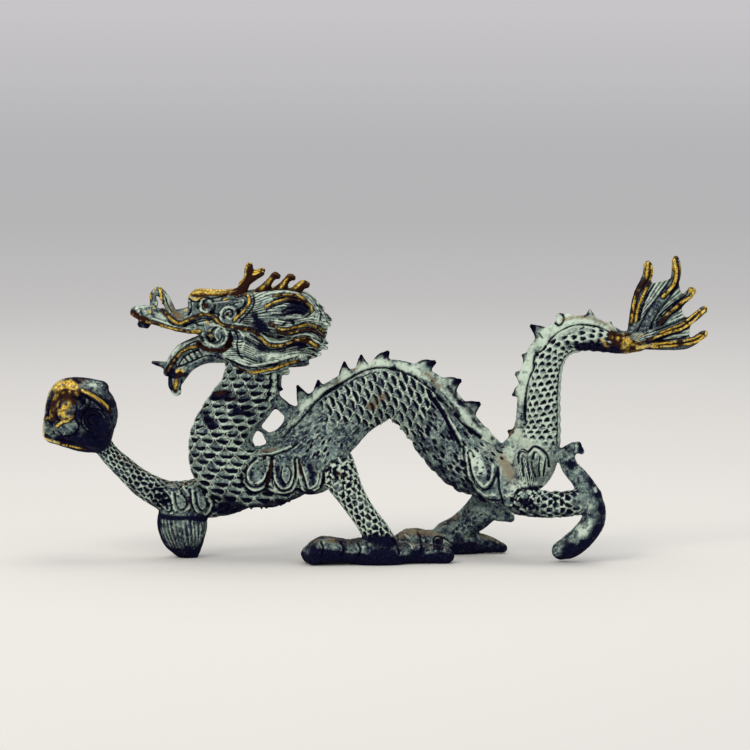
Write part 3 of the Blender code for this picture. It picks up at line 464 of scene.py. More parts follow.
        ("ridge", 0.3, (154, 319), (163, 321.5), (172, 325), (182, 328), (192, 329)),
        ("groove", 0.34, (156, 327), (166, 330), (178, 333), (190, 336.5)),
        ("groove", 0.3, (186, 326), (196, 324), (205, 321), (211, 321)),
        ("goldWash", 1.1, (188.5, 294), (191.5, 289), (198, 288), (207, 289.2), (218, 290), (228, 289.6),
            (235, 287), (241, 281), (244.3, 275), (244.5, 268), (246, 264)),
        ("brownWash", 1.35, (196, 294.5), (205, 294.5)),
        ("goldTrim", 1.6, (191, 290.5), (198, 289), (207, 289.5), (218, 290.5), (228, 290), (235, 287)),
        # painted highlights on the brow
        ("bloom", 0.4, (194.5, 293.5), (195.5, 294.5)),
        ("bloom", 0.4, (200.5, 294.5), (201.5, 295.5)),
        ("goldWash", 0.45, (190.5, 295), (192.5, 298.5), (198.5, 300.5), (205, 299)),
        ("groove", 0.36, (190, 299), (195, 303), (203, 303), (212, 300), (222, 298), (232, 294)),
        ("brownWash", 0.6, (214, 295), (222, 295.5), (230, 294)),
        ("groove", 0.3, (192, 303), (193, 309), (190, 315)),
        ("brownWash", 1.05, (207.4, 307), (207.6, 307)),
        ("groove", 0.24, *ringOf(207.5, 307, 4.1, 110, 250, 6)),
        ("ridge", 0.36, *ringOf(207.5, 307, 6, 70, 225, 6)),
        ("ridge", 0.3, *ringOf(208, 307, 5.6, -75, 5, 5)),
        ("groove", 0.34, *ringOf(207.5, 307, 8.6, -150, 60)),
        ("groove", 0.3, (213, 312), (219, 314), (224, 318)),
        ("goldRoll", 0.4, (225, 301), (230, 299), (238, 296), (246, 293.5), (249, 296), (251, 302),
            (249, 307), (245, 312), (239, 317), (236, 321)),
        ("groove", 0.3, (228, 304), (234, 301), (242, 298.5), (246, 299), (247, 303), (244, 308),
            (239, 312)),
        ("groove", 0.24, (232, 306), (238, 303.5), (243, 302.5)),
        ("groove", 0.36, (223, 297), (231, 294.5), (240, 291), (249, 289), (254, 294), (255.5, 302),
            (253, 310), (246, 317), (241, 323)),
        ("brownWash", 0.75, (228.8, 315), (229.2, 315)),
        ("groove", 0.26, (225.5, 319), (224.8, 314.5), (227.4, 311.4), (231, 310.6), (234.2, 312.6),
            (234.4, 315.4), (232, 317)),
        ("ridge", 0.34, (222.5, 320.5), (222, 314.5), (225.4, 309.2), (231, 307.8), (236, 310),
            (237.6, 314.8), (235, 318.8), (231, 319.6), (228.4, 317)),
        ("groove", 0.3, (219.5, 314), (220, 320), (224, 324.5), (231, 325.5)),
        ("ridge", 0.44, (204, 335), (207.5, 341.5), (216, 346.5), (224, 344.5), (228, 339), (226.5, 331),
            (220, 326.5), (212, 325.5)),
        ("groove", 0.32, (208, 337.5), (212, 341.5), (217.5, 342.6), (222.4, 339.5), (223, 334)),
        ("ridge", 0.3, (221, 328.5), (217.6, 332), (216.6, 336.5), (218.8, 340)),
        ("groove", 0.28, (217.4, 328), (213.4, 331.6), (212.4, 336), (214, 340)),
        ("goldWash", 0.5, (208, 322.5), (210, 323.5)),
        ("goldWash", 0.5, (211.5, 337), (212.5, 338)),
        ("brownWash", 0.95, (200, 343), (205, 348.5), (216, 351.5), (225, 350), (230.5, 343)),
        ("groove", 0.5, (199, 342), (204.5, 348.5), (216, 352), (226, 350), (231, 343), (231, 335)),
        ("groove", 0.32, (193, 322), (199, 326), (205, 326.5)),
        ("ridge", 0.42, (194, 336.5), (187, 340), (181, 345), (174, 353), (168, 361)),
        ("groove", 0.34, (196, 342), (187, 346.5), (177, 356), (171.5, 363), (166, 371)),
        ("brownRoll", 0.42, (199, 346.5), (190, 348.5), (183, 352), (177, 359), (172.5, 366), (169, 372)),
        ("goldTrim", 0.3, (196, 347), (190, 348.5), (184, 351.5), (179, 356.5)),
        ("groove", 0.32, (200, 350), (191, 353), (184, 358), (180, 364)),
        ("groove", 0.28, (185, 357), (189.5, 362.5)),
        ("groove", 0.28, (189.5, 354), (194, 361)),
        ("groove", 0.28, (194, 351.5), (199, 358)),
        ("groove", 0.28, (199, 350), (203, 355.5)),
        ("groove", 0.34, (178, 367), (188, 364), (198, 360), (207, 356.5), (216, 357)),
        ("shade", 1, (152, 362), (158, 364), (164, 367)),
        ("shade", 1.3, (171, 371), (178, 375), (187, 374)),
        ("brownWash", 1.3, (180.5, 373), (181.5, 373)),
        ("goldWash", 0.45, (177.5, 371.5), (181.5, 370), (184.5, 371.5)),
        ("brownWash", 0.95, (178, 379), (177, 385), (176, 391)),
        ("goldWash", 0.5, (177.5, 381), (177, 385), (176.5, 388)),
        ("groove", 0.36, (171, 376), (172, 384), (175, 393)),
        ("groove", 0.36, (183, 380), (182.5, 387), (179.5, 393)),
        ("ridge", 0.4, (172, 392), (177, 395), (181, 391)),
        ("shade", 1.2, (168, 374), (170, 382), (172, 388)),
        ("ridge", 0.4, (240, 331), (245, 336), (246, 343), (243, 350)),
        ("groove", 0.34, (236, 332), (239, 338), (238, 346), (240, 354), (244, 358)),
        ("groove", 0.36, (219, 358), (227, 361), (235, 362), (239, 366)),
        ("groove", 0.26, (231, 332), (233, 339), (231, 347)),
        ("bloom", 1, (228, 356), (237, 358), (246, 362)),
    )},
    "mane": {"on": ("mane",), "lines": (
        ("brownRoll", 0.38, *topLock),
        ("brownRoll", 0.4, *backLock),
        ("goldTrim", 0.34, *topLock[0:4]),
        ("goldTrim", 0.28, *backLock[2:4]),
        ("goldTrim", 0.32, (312, 307.5), (313, 312.5)),
        ("groove", 0.34, *moved(topLock, 0.5, 3.4)),
        ("groove", 0.3, *moved(backLock, -1, 3.2)),
        ("brownRoll", 0.4, *midLock),
        ("goldTrim", 0.28, (277, 328), (281, 330), (285, 330.8)),
        ("goldTrim", 0.28, (289, 330), (293, 329)),
        ("goldTrim", 0.32, (300, 327.3), (309, 325.5), (316, 327)),
        ("goldTrim", 0.3, (321, 330), (323.5, 332)),
        ("brownRoll", 0.36, *moved(midLock[1:], 0.5, 4.5)),
        ("groove", 0.28, *moved(midLock[1:], 0.2, 2.3)),
        ("groove", 0.36, *moved(midLock[1:], 0.8, 7)),
        ("brownRoll", 0.44, *lowLock),
        ("goldTrim", 0.34, (248, 372), (256, 372.5), (265, 371)),
        ("goldTrim", 0.36, (269, 370), (276, 368.6), (283, 366), (289, 364.2)),
        ("groove", 0.36, *moved(lowLock, 0, -4)),
        ("ridge", 0.3, *moved(lowLock[1:], 0, -7)),
        ("groove", 0.45, (293, 315), (299, 313), (305, 314)),
        ("groove", 0.45, (284, 325.5), (289, 323), (295, 323.5)),
        ("groove", 0.3, (283, 313), (291, 309), (302, 309), (309, 313)),
        ("groove", 0.26, (286, 317), (294, 313.5), (303, 314.5)),
        ("groove", 0.26, (281, 320), (292, 321.5), (304, 319.5), (310, 315.5)),
        ("shade", 2, (285, 313), (294, 311.5), (303, 313)),
        ("brownRoll", 0.42, (303, 341), (311, 343), (318, 347.5)),
        ("groove", 0.36, (292, 346), (301, 345), (309, 348), (314, 353)),
        ("shade", 1.5, (255, 315), (260, 324), (266, 332)),
        ("shade", 0.9, (288, 344.5), (297, 344), (305, 346)),
        ("shade", 1.4, (248, 340), (254, 343), (261, 346)),
        ("shade", 1.2, (262, 349), (274, 352), (284, 351)),
        ("shade", 1.2, (291, 306), (300, 307), (307, 311)),
        ("bloom", 1.3, (271, 357), (284, 358), (297, 355)),
        ("bloom", 0.8, (279, 341), (288, 339)),
        ("bloom", 1.2, (278, 323), (291, 322), (305, 321.5), (315, 324)),
        ("bloom", 1.1, (258, 297), (268, 293), (280, 291.5), (292, 291), (305, 293)),
        ("bloom", 0.8, (318, 318), (321, 324), (325, 328)),
        ("bloom", 0.7, (314, 334), (320, 338), (324, 342)),
        ("brownWash", 0.7, (309.5, 358), (310.5, 358)),
        ("groove", 0.28, *ringOf(331, 321, 3, 0, 300)),
        ("groove", 0.3, (316, 300), (319, 306), (322, 313), (321, 321)),
        ("groove", 0.3, (312, 332), (318, 336), (323, 342)),
        ("groove", 0.3, (304, 352), (311, 353), (317, 357)),
    )},
    "curl": {"on": ("curl",), "lines": (
        ("goldTrim", 0.7, (262, 289), (267, 285), (271, 280)),
        ("goldTrim", 0.6, (281, 288), (285, 284), (287, 280)),
        ("goldTrim", 0.6, (296, 288), (300, 285), (303, 282)),
        ("bloom", 0.5, (280, 277), (281.5, 280)),
        ("bloom", 0.5, (296.5, 278), (297.5, 281)),
        ("groove", 0.3, (272.5, 282), (276, 278), (279, 280)),
        ("groove", 0.3, (288, 285), (291, 280.5), (294.5, 282)),
        ("groove", 0.3, (301, 289), (304, 284), (308, 285)),
    )},
    "horn": {"on": ("horn",), "lines": (
        ("goldTrim", 0.5, (246.5, 263), (247, 270), (246, 276), (242, 282), (237, 287)),
        ("goldWash", 0.6, (249, 262), (251, 264)),
        ("goldWash", 0.7, (263, 269), (265, 271)),
        ("goldWash", 0.4, (255, 275), (260, 273)),
        ("groove", 0.26, (249, 268), (250.5, 274), (248, 281), (243, 286)),
    )},
    "pearl": {"on": ("pearl",), "lines": (
        ("goldWash", 0.7, (44.5, 412), (45, 404), (48, 395), (54, 384), (64, 378)),
        ("goldWash", 1.5, (61, 387), (68, 384.5), (76, 386.5)),
        ("goldWash", 0.45, (43.5, 437), (44, 427), (43.5, 417), (44.5, 408)),
        ("rust", 1.8, (60, 386), (68, 384), (78, 385)),
        ("goldGlow", 1.9, (58, 386), (66, 383.5), (75, 385)),
        ("rust", 0.9, (68, 379), (77, 379), (86, 380.5)),
        ("brownRoll", 0.95, (54, 418), (54.5, 411), (55.5, 404), (58.5, 396.5), (65, 392), (74.5, 391.5),
            (80, 393.5)),
        ("rust", 1.8, (64, 407), (68, 412)),
        ("goldGlow", 1.7, (63, 406), (67, 410), (69, 415)),
        ("brownWash", 1.2, (62, 399), (70, 398), (77, 401)),
        ("goldRoll", 0.5, (59, 426), (63, 423), (67, 421.5), (72, 419.5), (76, 416.5)),
        ("goldTrim", 1.2, (63, 413), (67, 408), (71, 404)),
        ("clean", 1.6, (65, 429), (71, 427), (76, 426)),
        ("groove", 0.36, (60, 432), (64, 436), (72, 435.5), (80, 431), (82, 425), (79, 420)),
        ("ridge", 0.34, (80, 392), (85.5, 396), (90, 400), (88, 405), (84, 409)),
        ("groove", 0.3, (83, 391), (90, 396), (93, 402), (90, 408), (86, 414)),
        ("goldRoll", 0.5, (85, 390), (93, 394), (101, 399), (108, 405), (112, 411)),
        ("groove", 0.36, (84, 394), (92, 398), (100, 403), (107, 410)),
        ("clean", 1.8, (88, 384), (95, 384), (101, 386)),
        ("bloom", 0.8, (92, 384), (97, 385)),
        ("shade", 2.6, (94, 417), (99, 425)),
        ("groove", 0.26, *ringOf(96, 420, 5.5, 100, 330)),
        ("groove", 0.26, *ringOf(96, 420, 9, 110, 350)),
        ("groove", 0.26, *ringOf(97, 421, 12.5, 100, 330)),
        ("ridge", 0.22, *ringOf(96, 420, 7.2, 120, 320)),
        ("ridge", 0.22, *ringOf(97, 421, 10.8, 120, 340)),
        ("clean", 1.5, (47, 426), (53, 430), (58, 433)),
        ("brownRoll", 0.42, (44, 419), (49, 418), (54, 418.5)),
        ("goldWash", 0.45, (44, 438), (52, 441), (60, 443)),
        ("goldRoll", 0.32, (60, 444), (70, 446), (80, 448), (88, 450)),
        ("groove", 0.36, (46, 434), (56, 438), (67, 441), (78, 443), (88, 445)),
        ("shade", 2.6, (93, 440), (102, 444), (108, 446)),
        ("shade", 1.3, (60, 438), (70, 440), (80, 442)),
        ("bloom", 0.6, (109.5, 445.5), (110.5, 446.5)),
        ("goldWash", 0.4, (112.8, 448), (113.2, 448)),
        ("groove", 0.34, (60, 398), (58, 406), (58, 414), (62, 421)),
        ("groove", 0.3, (76, 399), (80, 406), (79, 414)),
    )},
    "fan": {"on": ("fan", "body", "fin"), "lines": (
        ("brownWash", 2.2, (614, 340), (622, 344), (632, 347)),
        ("brownWash", 0.8, (603, 341), (607, 346)),
        ("goldGlow", 1.5, (616, 338), (624, 342), (632, 346), (638, 348.5)),
        ("goldGlow", 0.7, (602, 341), (605, 345)),
        ("goldWash", 0.6, (636, 349), (645, 347), (655, 345)),
        ("goldWash", 0.5, (600, 340), (603, 342)),
        ("shade", 1.3, (566, 345), (580, 347.5), (596, 351), (612, 353), (630, 354)),
        ("groove", 0.4, (612, 333), (620, 335), (628, 334)),
        ("shade", 2.2, (584, 347), (598, 349), (612, 350), (628, 351), (640, 350)),
        ("goldRoll", 0.5, (629.1, 324.3), (630.6, 315.3), (632.1, 304.8), (635.1, 294.2), (639.6, 285.2),
            (644.2, 277.7), (645.2, 268.6), (646.2, 263.6)),
        ("goldRoll", 0.4, (634.4, 321.3), (635.9, 310.8), (639.6, 300.2), (644.2, 289.7), (649, 280.7),
            (650.6, 273.1), (649.6, 266.4)),
        ("groove", 0.3, (631.8, 322), (633.2, 311), (636.2, 299), (641, 289), (646.5, 280.5), (648.4, 273),
            (648, 266)),
        ("groove", 0.3, (637.5, 321), (639.5, 311), (643, 301), (647.5, 292), (652.5, 283), (654, 275)),
        ("goldRoll", 0.55, (660.7, 297.2), (666.7, 291.2), (671.3, 285.2), (673.6, 277.7), (673.6, 270.1),
            (672, 262.6), (672.8, 259), (675, 257)),
        ("groove", 0.34, (663, 299), (669, 293.5), (674.5, 287), (677.3, 279), (677.6, 270), (676.5, 263)),
        ("goldRoll", 0.5, (657.7, 324.3), (665.2, 315.3), (674.3, 307.8), (681.8, 301.7), (689.3, 297.2),
            (690.4, 292.5), (687.8, 289.5)),
        ("groove", 0.34, (661, 325), (668.5, 317), (677, 310), (684, 304.5), (691, 300)),
        ("groove", 0.3, (655, 321), (662, 312.5), (671, 305), (679, 299), (684, 295), (685, 290.5)),
        ("goldRoll", 0.45, (647.2, 340.9), (656.2, 336.6), (666.7, 333.2), (678.8, 329.6), (689.3, 323.2),
            (696.9, 315.8), (703.4, 309.8), (703.8, 306.8)),
        ("goldRoll", 0.34, (657.7, 333.4), (668.3, 329.2), (679.8, 324.6), (689.8, 316.3), (697.4, 310.3)),
        ("groove", 0.26, (656.5, 335.2), (667.5, 331.3), (679.5, 327), (689.5, 319.8), (697, 313)),
        ("groove", 0.32, (649, 343), (658, 339.2), (668, 335.8), (680, 332), (691, 326)),
        ("goldRoll", 0.45, (650.2, 347.7), (660.7, 346.4), (674.3, 345.6), (687.8, 343.9), (696.9, 340.9),
            (703.6, 335.5), (704.4, 332.6)),
        ("goldRoll", 0.32, (653.2, 344.2), (668.3, 342.6), (681.8, 340.9), (692.9, 338.2), (699.8, 334.6)),
        ("groove", 0.26, (655, 346), (668, 344.6), (681, 343.2), (692.5, 340.4), (699.5, 336.8)),
        ("groove", 0.3, (655, 341.6), (668, 340), (681, 338.2), (690, 335.6)),
    )},
    "foot": {"on": ("foot", "limb", "claw", "tuft", "body", "tongue"), "lines": (
        ("rust", 0.9, (311, 536), (315, 536.5)),
        ("rust", 0.9, (331, 537), (335, 537)),
        ("rust", 0.9, (348, 538), (352, 538)),
        ("shade", 1.6, (312, 549), (328, 553), (345, 555), (375, 556)),
        # painted highlight on the big dark toe
        ("clean", 0.9, (320, 543), (328, 543)),
        ("clean", 0.9, (333, 543), (338, 545)),
        ("clean", 1.3, (304.5, 545), (307, 550)),
        ("clean", 1.3, (349, 549), (355, 551)),
        ("clean", 1.3, (361, 547), (366, 550)),
        ("clean", 1.3, (400, 551), (407, 551)),
        ("clean", 1, (412, 544), (416, 545)),
        ("clean", 1.2, (426, 550), (434, 549)),
        ("clean", 1.2, (444, 547), (449, 549)),
        ("shade", 1.1, (437.5, 545), (438.5, 545)),
        ("groove", 0.3, *ringOf(438, 545, 4.6, 150, 390)),
        ("rust", 1.1, (397, 532), (408, 530), (420, 533)),
        ("rust", 1.1, (424, 534), (436, 532), (448, 527), (458, 521)),
        ("shade", 1.5, (372, 535), (381, 538), (391, 541)),
        ("ridge", 0.26, (397, 535), (404, 539), (410, 543), (413, 549)),
        ("groove", 0.4, (321, 539), (324, 546), (322, 554)),
        ("groove", 0.4, (341, 539), (344, 546), (342, 554)),
        ("groove", 0.36, (358, 541), (361, 548), (358, 555)),
        ("groove", 0.34, (392, 536), (397, 543), (399, 552)),
        ("groove", 0.34, (418, 537), (421, 543), (420, 552)),
        ("groove", 0.3, (441, 541), (446, 543), (452, 548)),
        ("shade", 1.6, (566, 446), (569, 450)),
        ("shade", 1.4, (566, 463), (570, 466)),
        ("shade", 1.2, (575, 462), (577, 462)),
        ("bloom", 0.5, (575, 443), (575, 453)),
        ("shade", 1.3, (579.5, 445), (580.5, 449)),
        ("bloom", 1.6, (574, 524), (578, 528), (582, 532)),
        ("bloom", 0.9, (554, 553), (557, 550), (560, 546)),
        # painted rim light along the claw's edge
        ("bloom", 0.5, (603.5, 503), (604, 509), (603, 516)),
        ("shade", 1.1, (521, 500), (527, 504), (533, 505)),
        ("shade", 1.3, (172, 556), (186, 559), (201, 551), (206, 540)),
        ("shade", 1.5, (157, 520), (158, 532), (162, 542)),
        ("shade", 0.8, (158, 515), (172, 517.5), (190, 518), (206, 519)),
        ("rust", 0.7, (118, 455), (126, 459), (134, 463), (142, 468), (150, 472), (158, 477), (168, 482),
            (178, 486)),
        ("rust", 1.2, (184, 484), (192, 480), (198, 478)),
        ("shade", 1.7, (596, 492), (601, 504), (601, 518), (596, 528)),
        ("shade", 3, (593, 534), (585, 542), (576, 548), (568, 551)),
        ("shade", 1.2, (586, 478), (592, 484), (597, 492)),
        ("bloom", 1, (588, 503), (588, 509)),
        ("bloom", 1.3, (588, 520), (584, 526), (577, 532)),
        ("bloom", 0.8, (592, 484), (594, 490)),
        ("groove", 0.3, (121, 462), (126, 466)),
        ("groove", 0.3, (558, 497), (562, 502)),
        ("groove", 0.3, (550, 495), (554, 501)),
    )},
}
hairFlow = (
    headView((950, 300), (1060, 250), (1180, 245), (1300, 235), (1400, 270)),
    headView((940, 390), (1010, 370), (1100, 330), (1200, 300), (1300, 300), (1370, 350), (1430, 440)),
    headView((940, 450), (1050, 430), (1200, 410), (1300, 430), (1430, 470)),
    headView((950, 500), (1060, 490), (1180, 500), (1300, 490), (1400, 470), (1480, 490)),
    headView((960, 530), (1080, 540), (1180, 570), (1270, 550), (1380, 530), (1480, 575)),
    headView((900, 560), (980, 600), (1040, 650), (1090, 680), (1160, 685), (1230, 660), (1300, 640),
        (1390, 640), (1470, 690)),
    headView((900, 680), (1000, 730), (1150, 760), (1300, 740), (1440, 720)),
    headView((880, 760), (980, 800), (1100, 810), (1250, 780), (1420, 745)),
    headView((790, 830), (860, 870), (960, 882), (1080, 867), (1200, 822), (1330, 780), (1440, 760)),
)
hairStrands = (4, 4, 3, 3, 5, 6, 5, 5)      # strands between one flow line and the next

guides = []
bars = {}


def smoothPath(points, steps=5):
    knots = np.array(points, float)
    knots = np.vstack([2 * knots[0] - knots[1], knots, 2 * knots[-1] - knots[-2]])
    t = np.arange(steps)[:, None] / steps
    spans = []
    for a, b, c, d in zip(knots, knots[1:], knots[2:], knots[3:]):
        spans.append(b + 0.5 * (c - a) * t + (a - 2.5 * b + 2 * c - 0.5 * d) * t ** 2
                     + 0.5 * (3 * b - a - 3 * c + d) * t ** 3)
    return np.vstack(spans + [knots[-2:-1]])


def roundEnds(path):
    for _ in range(2):
        along = path[0, :3] - path[1, :3]
        along /= np.linalg.norm(along)
        dome = []
        for angle in np.radians(surface["domeAngles"]):
            point = path[0, :3] + along * path[0, 3] * math.sin(angle)
            dome.append([*point, path[0, 3] * math.cos(angle)])
        path = np.vstack([dome, path])[::-1]
    return path


def onPlane(points, y=0.0):
    return [(x, y, z, radius) for x, z, radius in points]


def addBar(group, relief, points, depth=1.0, mirror=False):
    for side in ((1, -1) if mirror else (1,)):
        turned = np.array(points, float) * (1, side, 1, 1)
        bars.setdefault(depth, []).append(turned)
        length = np.linalg.norm(np.diff(turned[:, :3], axis=0), axis=1).sum()
        steps = max(3, int(length / (len(turned) - 1) / surface["guideStep"]))
        guides.append({"group": group, "relief": relief, "path": smoothPath(turned, steps), "steps": steps,
                       "depth": depth, "side": side, "length": length})


def addPad(group, relief, pad, mirror=False):
    centre, radii = pad
    for side in ((1, -1) if mirror else (1,)):
        place = (centre[0], centre[1] * side, centre[2])
        bpy.ops.object.select_all(action="DESELECT")
        bpy.ops.mesh.primitive_uv_sphere_add(segments=surface["padSegments"], ring_count=surface["padRings"],
                                             radius=1, location=place, scale=radii)
        shells.append(bpy.context.object)
        guides.append({"group": group, "relief": relief, "centre": np.array(place), "radii": np.array(radii),
                       "side": side, "length": 2 * max(radii)})


def castBars(depth):
    # all bars of one depth as one curve with round ends, turned into closed shells
    bpy.ops.object.select_all(action="DESELECT")
    bpy.ops.curve.primitive_nurbs_path_add()
    holder = bpy.context.object
    curve = holder.data
    curve.splines.clear()
    curve.dimensions = "3D"
    curve.bevel_depth = 1.0
    curve.bevel_resolution = surface["barRound"]
    curve.use_fill_caps = True
    for bar in bars[depth]:
        path = roundEnds(smoothPath(bar, surface["barSteps"]))
        spline = curve.splines.new("POLY")
        spline.points.add(len(path) - 1)
        places = np.column_stack([path[:, 0], path[:, 1] / depth, path[:, 2], np.ones(len(path))])
        spline.points.foreach_set("co", places.ravel())
        spline.points.foreach_set("radius", np.ascontiguousarray(path[:, 3]))
    holder.scale.y = depth
    bpy.ops.object.convert(target="MESH")
    bpy.ops.object.transform_apply(location=False, rotation=False, scale=True)
    shells.append(holder)


shells = []
body = onPlane(bodyForm["line"])
addBar("body", "body", body, bodyForm["depth"])
bodyPath = guides[0]["path"]
bodyAlong = np.gradient(bodyPath[:, :3], axis=0)
bodyAlong /= np.linalg.norm(bodyAlong, axis=1)[:, None]
bodyOut = np.column_stack([-bodyAlong[:, 2], np.zeros(len(bodyAlong)), bodyAlong[:, 0]])


def finShare(x):
    # the back fin is low in the saddle before the tail and thin at the tail's end
    form = backForm
    saddle = form["saddleDip"] * np.exp(-((x - form["saddleAt"]) / form["saddleWidth"]) ** 2)
    return (1 - saddle) * np.clip((form["fadeAt"] - x) / form["fadeLength"], form["fadeLeast"], 1)


def castBack():
    form = backForm
    steps = guides[0]["steps"]
    share = finShare(bodyPath[:, 0])
    ridge = bodyPath[:, :3] + bodyOut * (bodyPath[:, 3] + form["finRise"] * share)[:, None]
    ridge = np.column_stack([ridge, form["finRadius"] * share])
    addBar("fin", "fin", ridge[form["finStart"] * steps::steps // 2], form["finDepth"])
    neck = bodyPath[:, :3] + bodyOut * (bodyPath[:, 3] - form["neckSink"])[:, None]
    neck = np.column_stack([neck, np.full(len(neck), form["neckRadius"])])
    addBar("fin", "fin", neck[:form["neckEnd"] * steps:steps // 2], form["finDepth"])
    start = (form["finStart"] - 1) * steps
    line = bodyPath[start:]
    for tipX, tipZ, radius, lean in form["spines"]:
        tip = np.array((tipX, 0, tipZ))
        nearest = start + np.argmin(np.linalg.norm(line[:, :3] - tip, axis=1) - line[:, 3])
        along = bodyAlong[nearest]
        sunk = bodyPath[nearest, 3] - form["finSink"]
        root = bodyPath[nearest, :3] + bodyOut[nearest] * sunk - along * lean
        waist = root + form["waistPlace"] * (tip - root) - along * lean * form["waistLean"]
        knob = form["spineTip"] * radius
        tip = tip + (root - tip) * knob / np.linalg.norm(root - tip)
        points = [(*root, radius * form["spineRoot"]), (*waist, radius * form["spineWaist"]), (*tip, knob)]
        addBar("spine", "spine", points, form["finDepth"])
    for barb in form["barbs"]:
        addBar("spine", "spine", onPlane(barb))
    for name in ("bridge", "holeBridge", "holeEdge"):
        addBar("fin", "plain", form[name], form["finDepth"])


def castLimbs():
    form = limbForm
    addBar("limb", "netArm", form["arm"])
    addBar("tuft", "tuft", form["elbowTuft"], form["tuftDepth"])
    for relief, name in (("netLeg", "legNearFront"), ("pits", "legFarHind"), ("netHind", "legNearHind")):
        addBar("limb", relief, form[name])
    for name in ("upperToe", "upperClaw", "upperNail", "kneeSpur"):
        addBar("claw", "plain", form[name])
    addPad("body", "flank", form["shoulderPad"])
    addBar("tuft", "tuft", form["haunchTuft"], form["haunchTuftDepth"])


def castFoot(side):
    form = footForm
    palm, heel, toe, rows = (form[side + name] for name in ("Palm", "Heel", "Toe", "Rows"))
    addPad("foot", "foot", palm)
    addBar("foot", "foot", heel)
    for row, shift in zip(rows, form["shifts"]):
        points = []
        for i, (x, z, radius) in enumerate(toe):
            spread = form["rootSpread"] + (1 - form["rootSpread"]) * i / (len(toe) - 1)
            points.append((x + shift, rows[1] + (row - rows[1]) * spread, z, radius))
        addBar("foot", "toe", points)


def castTongues():
    form = tongueForm
    for tongue in (*form["shoulder"], *form["elbow"], form["haunch"]):
        topX, topZ, endX, endZ, radius, y = tongue
        for side in ((y, -y) if tongue in form["shoulder"] else (y,)):
            top = (topX, side, topZ, radius * form["topShare"])
            tip = (endX, side, endZ + form["tipLift"] * radius, radius)
            addBar("tongue", "flank", [top, tip], form["depth"])


def castPearl():
    form = pearlForm
    addPad("pearl", "pearl", form["core"])
    addPad("pearl", "pearl", form["boss"], mirror=True)
    addBar("pearl", "pearl", onPlane(form["rim"]), form["rimDepth"])
    addBar("pearl", "grip", form["grip"], mirror=True)
    addBar("pearl", "grip", form["lower"], mirror=True)


def castHead():
    form = headForm
    addBar("head", "face", form["snout"], form["snoutDepth"])
    addBar("head", "face", form["jaw"])
    for name in ("upperLip", "tooth", "noseCurl", "ear", "mouthCurl", "barb", "jawLip"):
        addBar("head", "face", form[name], mirror=True)
    addBar("head", "gilt", form["brow"], mirror=True)
    for name in ("horn", "hornBranch"):
        addBar("horn", "gilt", form[name], mirror=True)
    addPad("head", "face", form["eye"], mirror=True)
    addPad("head", "face", form["cheek"], mirror=True)


def castMane():
    form = maneForm
    addPad("mane", "hair", form["core"])
    addBar("mane", "hair", form["crest"])
    for lock in form["locks"]:
        addBar("mane", "hair", lock, mirror=True)
    for curl in form["curls"]:
        addBar("curl", "gilt", curl, mirror=True)
    addBar("mane", "hair", form["tuft"])


def castFan():
    form = fanForm
    addBar("fan", "fanStem", onPlane(form["stem"]), form["stemDepth"])
    paths = []
    for finger, lift in zip(form["fingers"], form["lift"]):
        addBar("fan", "finger", onPlane(finger, lift))
        paths.append(guides[-1]["path"][:, :3])
    for left, right, share in zip(paths, paths[1:], form["webShare"]):
        castWeb(left, right, share)


def castWeb(left, right, share):
    # a grid is laid between two fingers and thickened
    bpy.ops.object.select_all(action="DESELECT")
    bpy.ops.mesh.primitive_grid_add(x_subdivisions=4, y_subdivisions=12, size=1)
    sheet = bpy.context.object
    places = []
    for vert in sheet.data.vertices:
        along = (vert.co.y + 0.5) * share
        across = vert.co.x + 0.5
        a = left[int(along * (len(left) - 1))]
        b = right[int(along * (len(right) - 1))]
        places.append(a + (b - a) * across)
    sheet.data.vertices.foreach_set("co", np.array(places).ravel())
    thick = sheet.modifiers.new("Thickness", "SOLIDIFY")
    thick.thickness = fanForm["webThickness"]
    thick.offset = 0
    bpy.ops.object.modifier_apply(modifier=thick.name)
    shells.append(sheet)


castBack()
castLimbs()
castFoot("near")
castFoot("far")
castTongues()
castPearl()
castHead()
castMane()
castFan()
for depth in bars:
    castBars(depth)
print("stage 2: forms laid out,", len(guides), "guides")


def fuseForms():
    # one skin over all forms, with soft fillets; the soles are flattened at the ground after carving
    bpy.ops.object.select_all(action="DESELECT")
    for shell in shells:
        shell.select_set(True)
    bpy.context.view_layer.objects.active = shells[0]
    bpy.ops.object.transform_apply(location=True, rotation=True, scale=True)
    bpy.ops.object.join()
    casting = bpy.context.object
    skin = casting.modifiers.new("Skin", "REMESH")
    skin.mode = "VOXEL"
    skin.voxel_size = surface["grain"]
    bpy.ops.object.modifier_apply(modifier=skin.name)
    soft = casting.modifiers.new("Fillets", "SMOOTH")
    soft.factor = 0.5
    soft.iterations = surface["smoothing"]
    bpy.ops.object.modifier_apply(modifier=soft.name)
    keepOuterSkin(casting)
    return casting


def keepOuterSkin(casting):
    # closed bubbles and crumbs go
    lowest = min(casting.data.vertices, key=lambda vert: vert.co.x).index
    bpy.ops.object.mode_set(mode="EDIT")
    bpy.ops.mesh.select_mode(type="VERT")
    bpy.ops.mesh.select_all(action="DESELECT")
    bpy.ops.object.mode_set(mode="OBJECT")
    casting.data.vertices[lowest].select = True
    bpy.ops.object.mode_set(mode="EDIT")
    bpy.ops.mesh.select_linked()
    bpy.ops.mesh.select_all(action="INVERT")
    bpy.ops.mesh.delete(type="VERT")
    bpy.ops.object.mode_set(mode="OBJECT")


dragon = fuseForms()
mesh = dragon.data
count = len(mesh.vertices)
print("stage 3: casting has", count, "points")


def readPlaces(mesh):
    places = np.empty(len(mesh.vertices) * 3, np.float32)
    mesh.vertices.foreach_get("co", places)
    return places.reshape(-1, 3).astype(float)


def readNormals(mesh):
    normals = np.empty(len(mesh.vertices) * 3, np.float32)
    mesh.vertex_normals.foreach_get("vector", normals)
    return normals.reshape(-1, 3).astype(float)


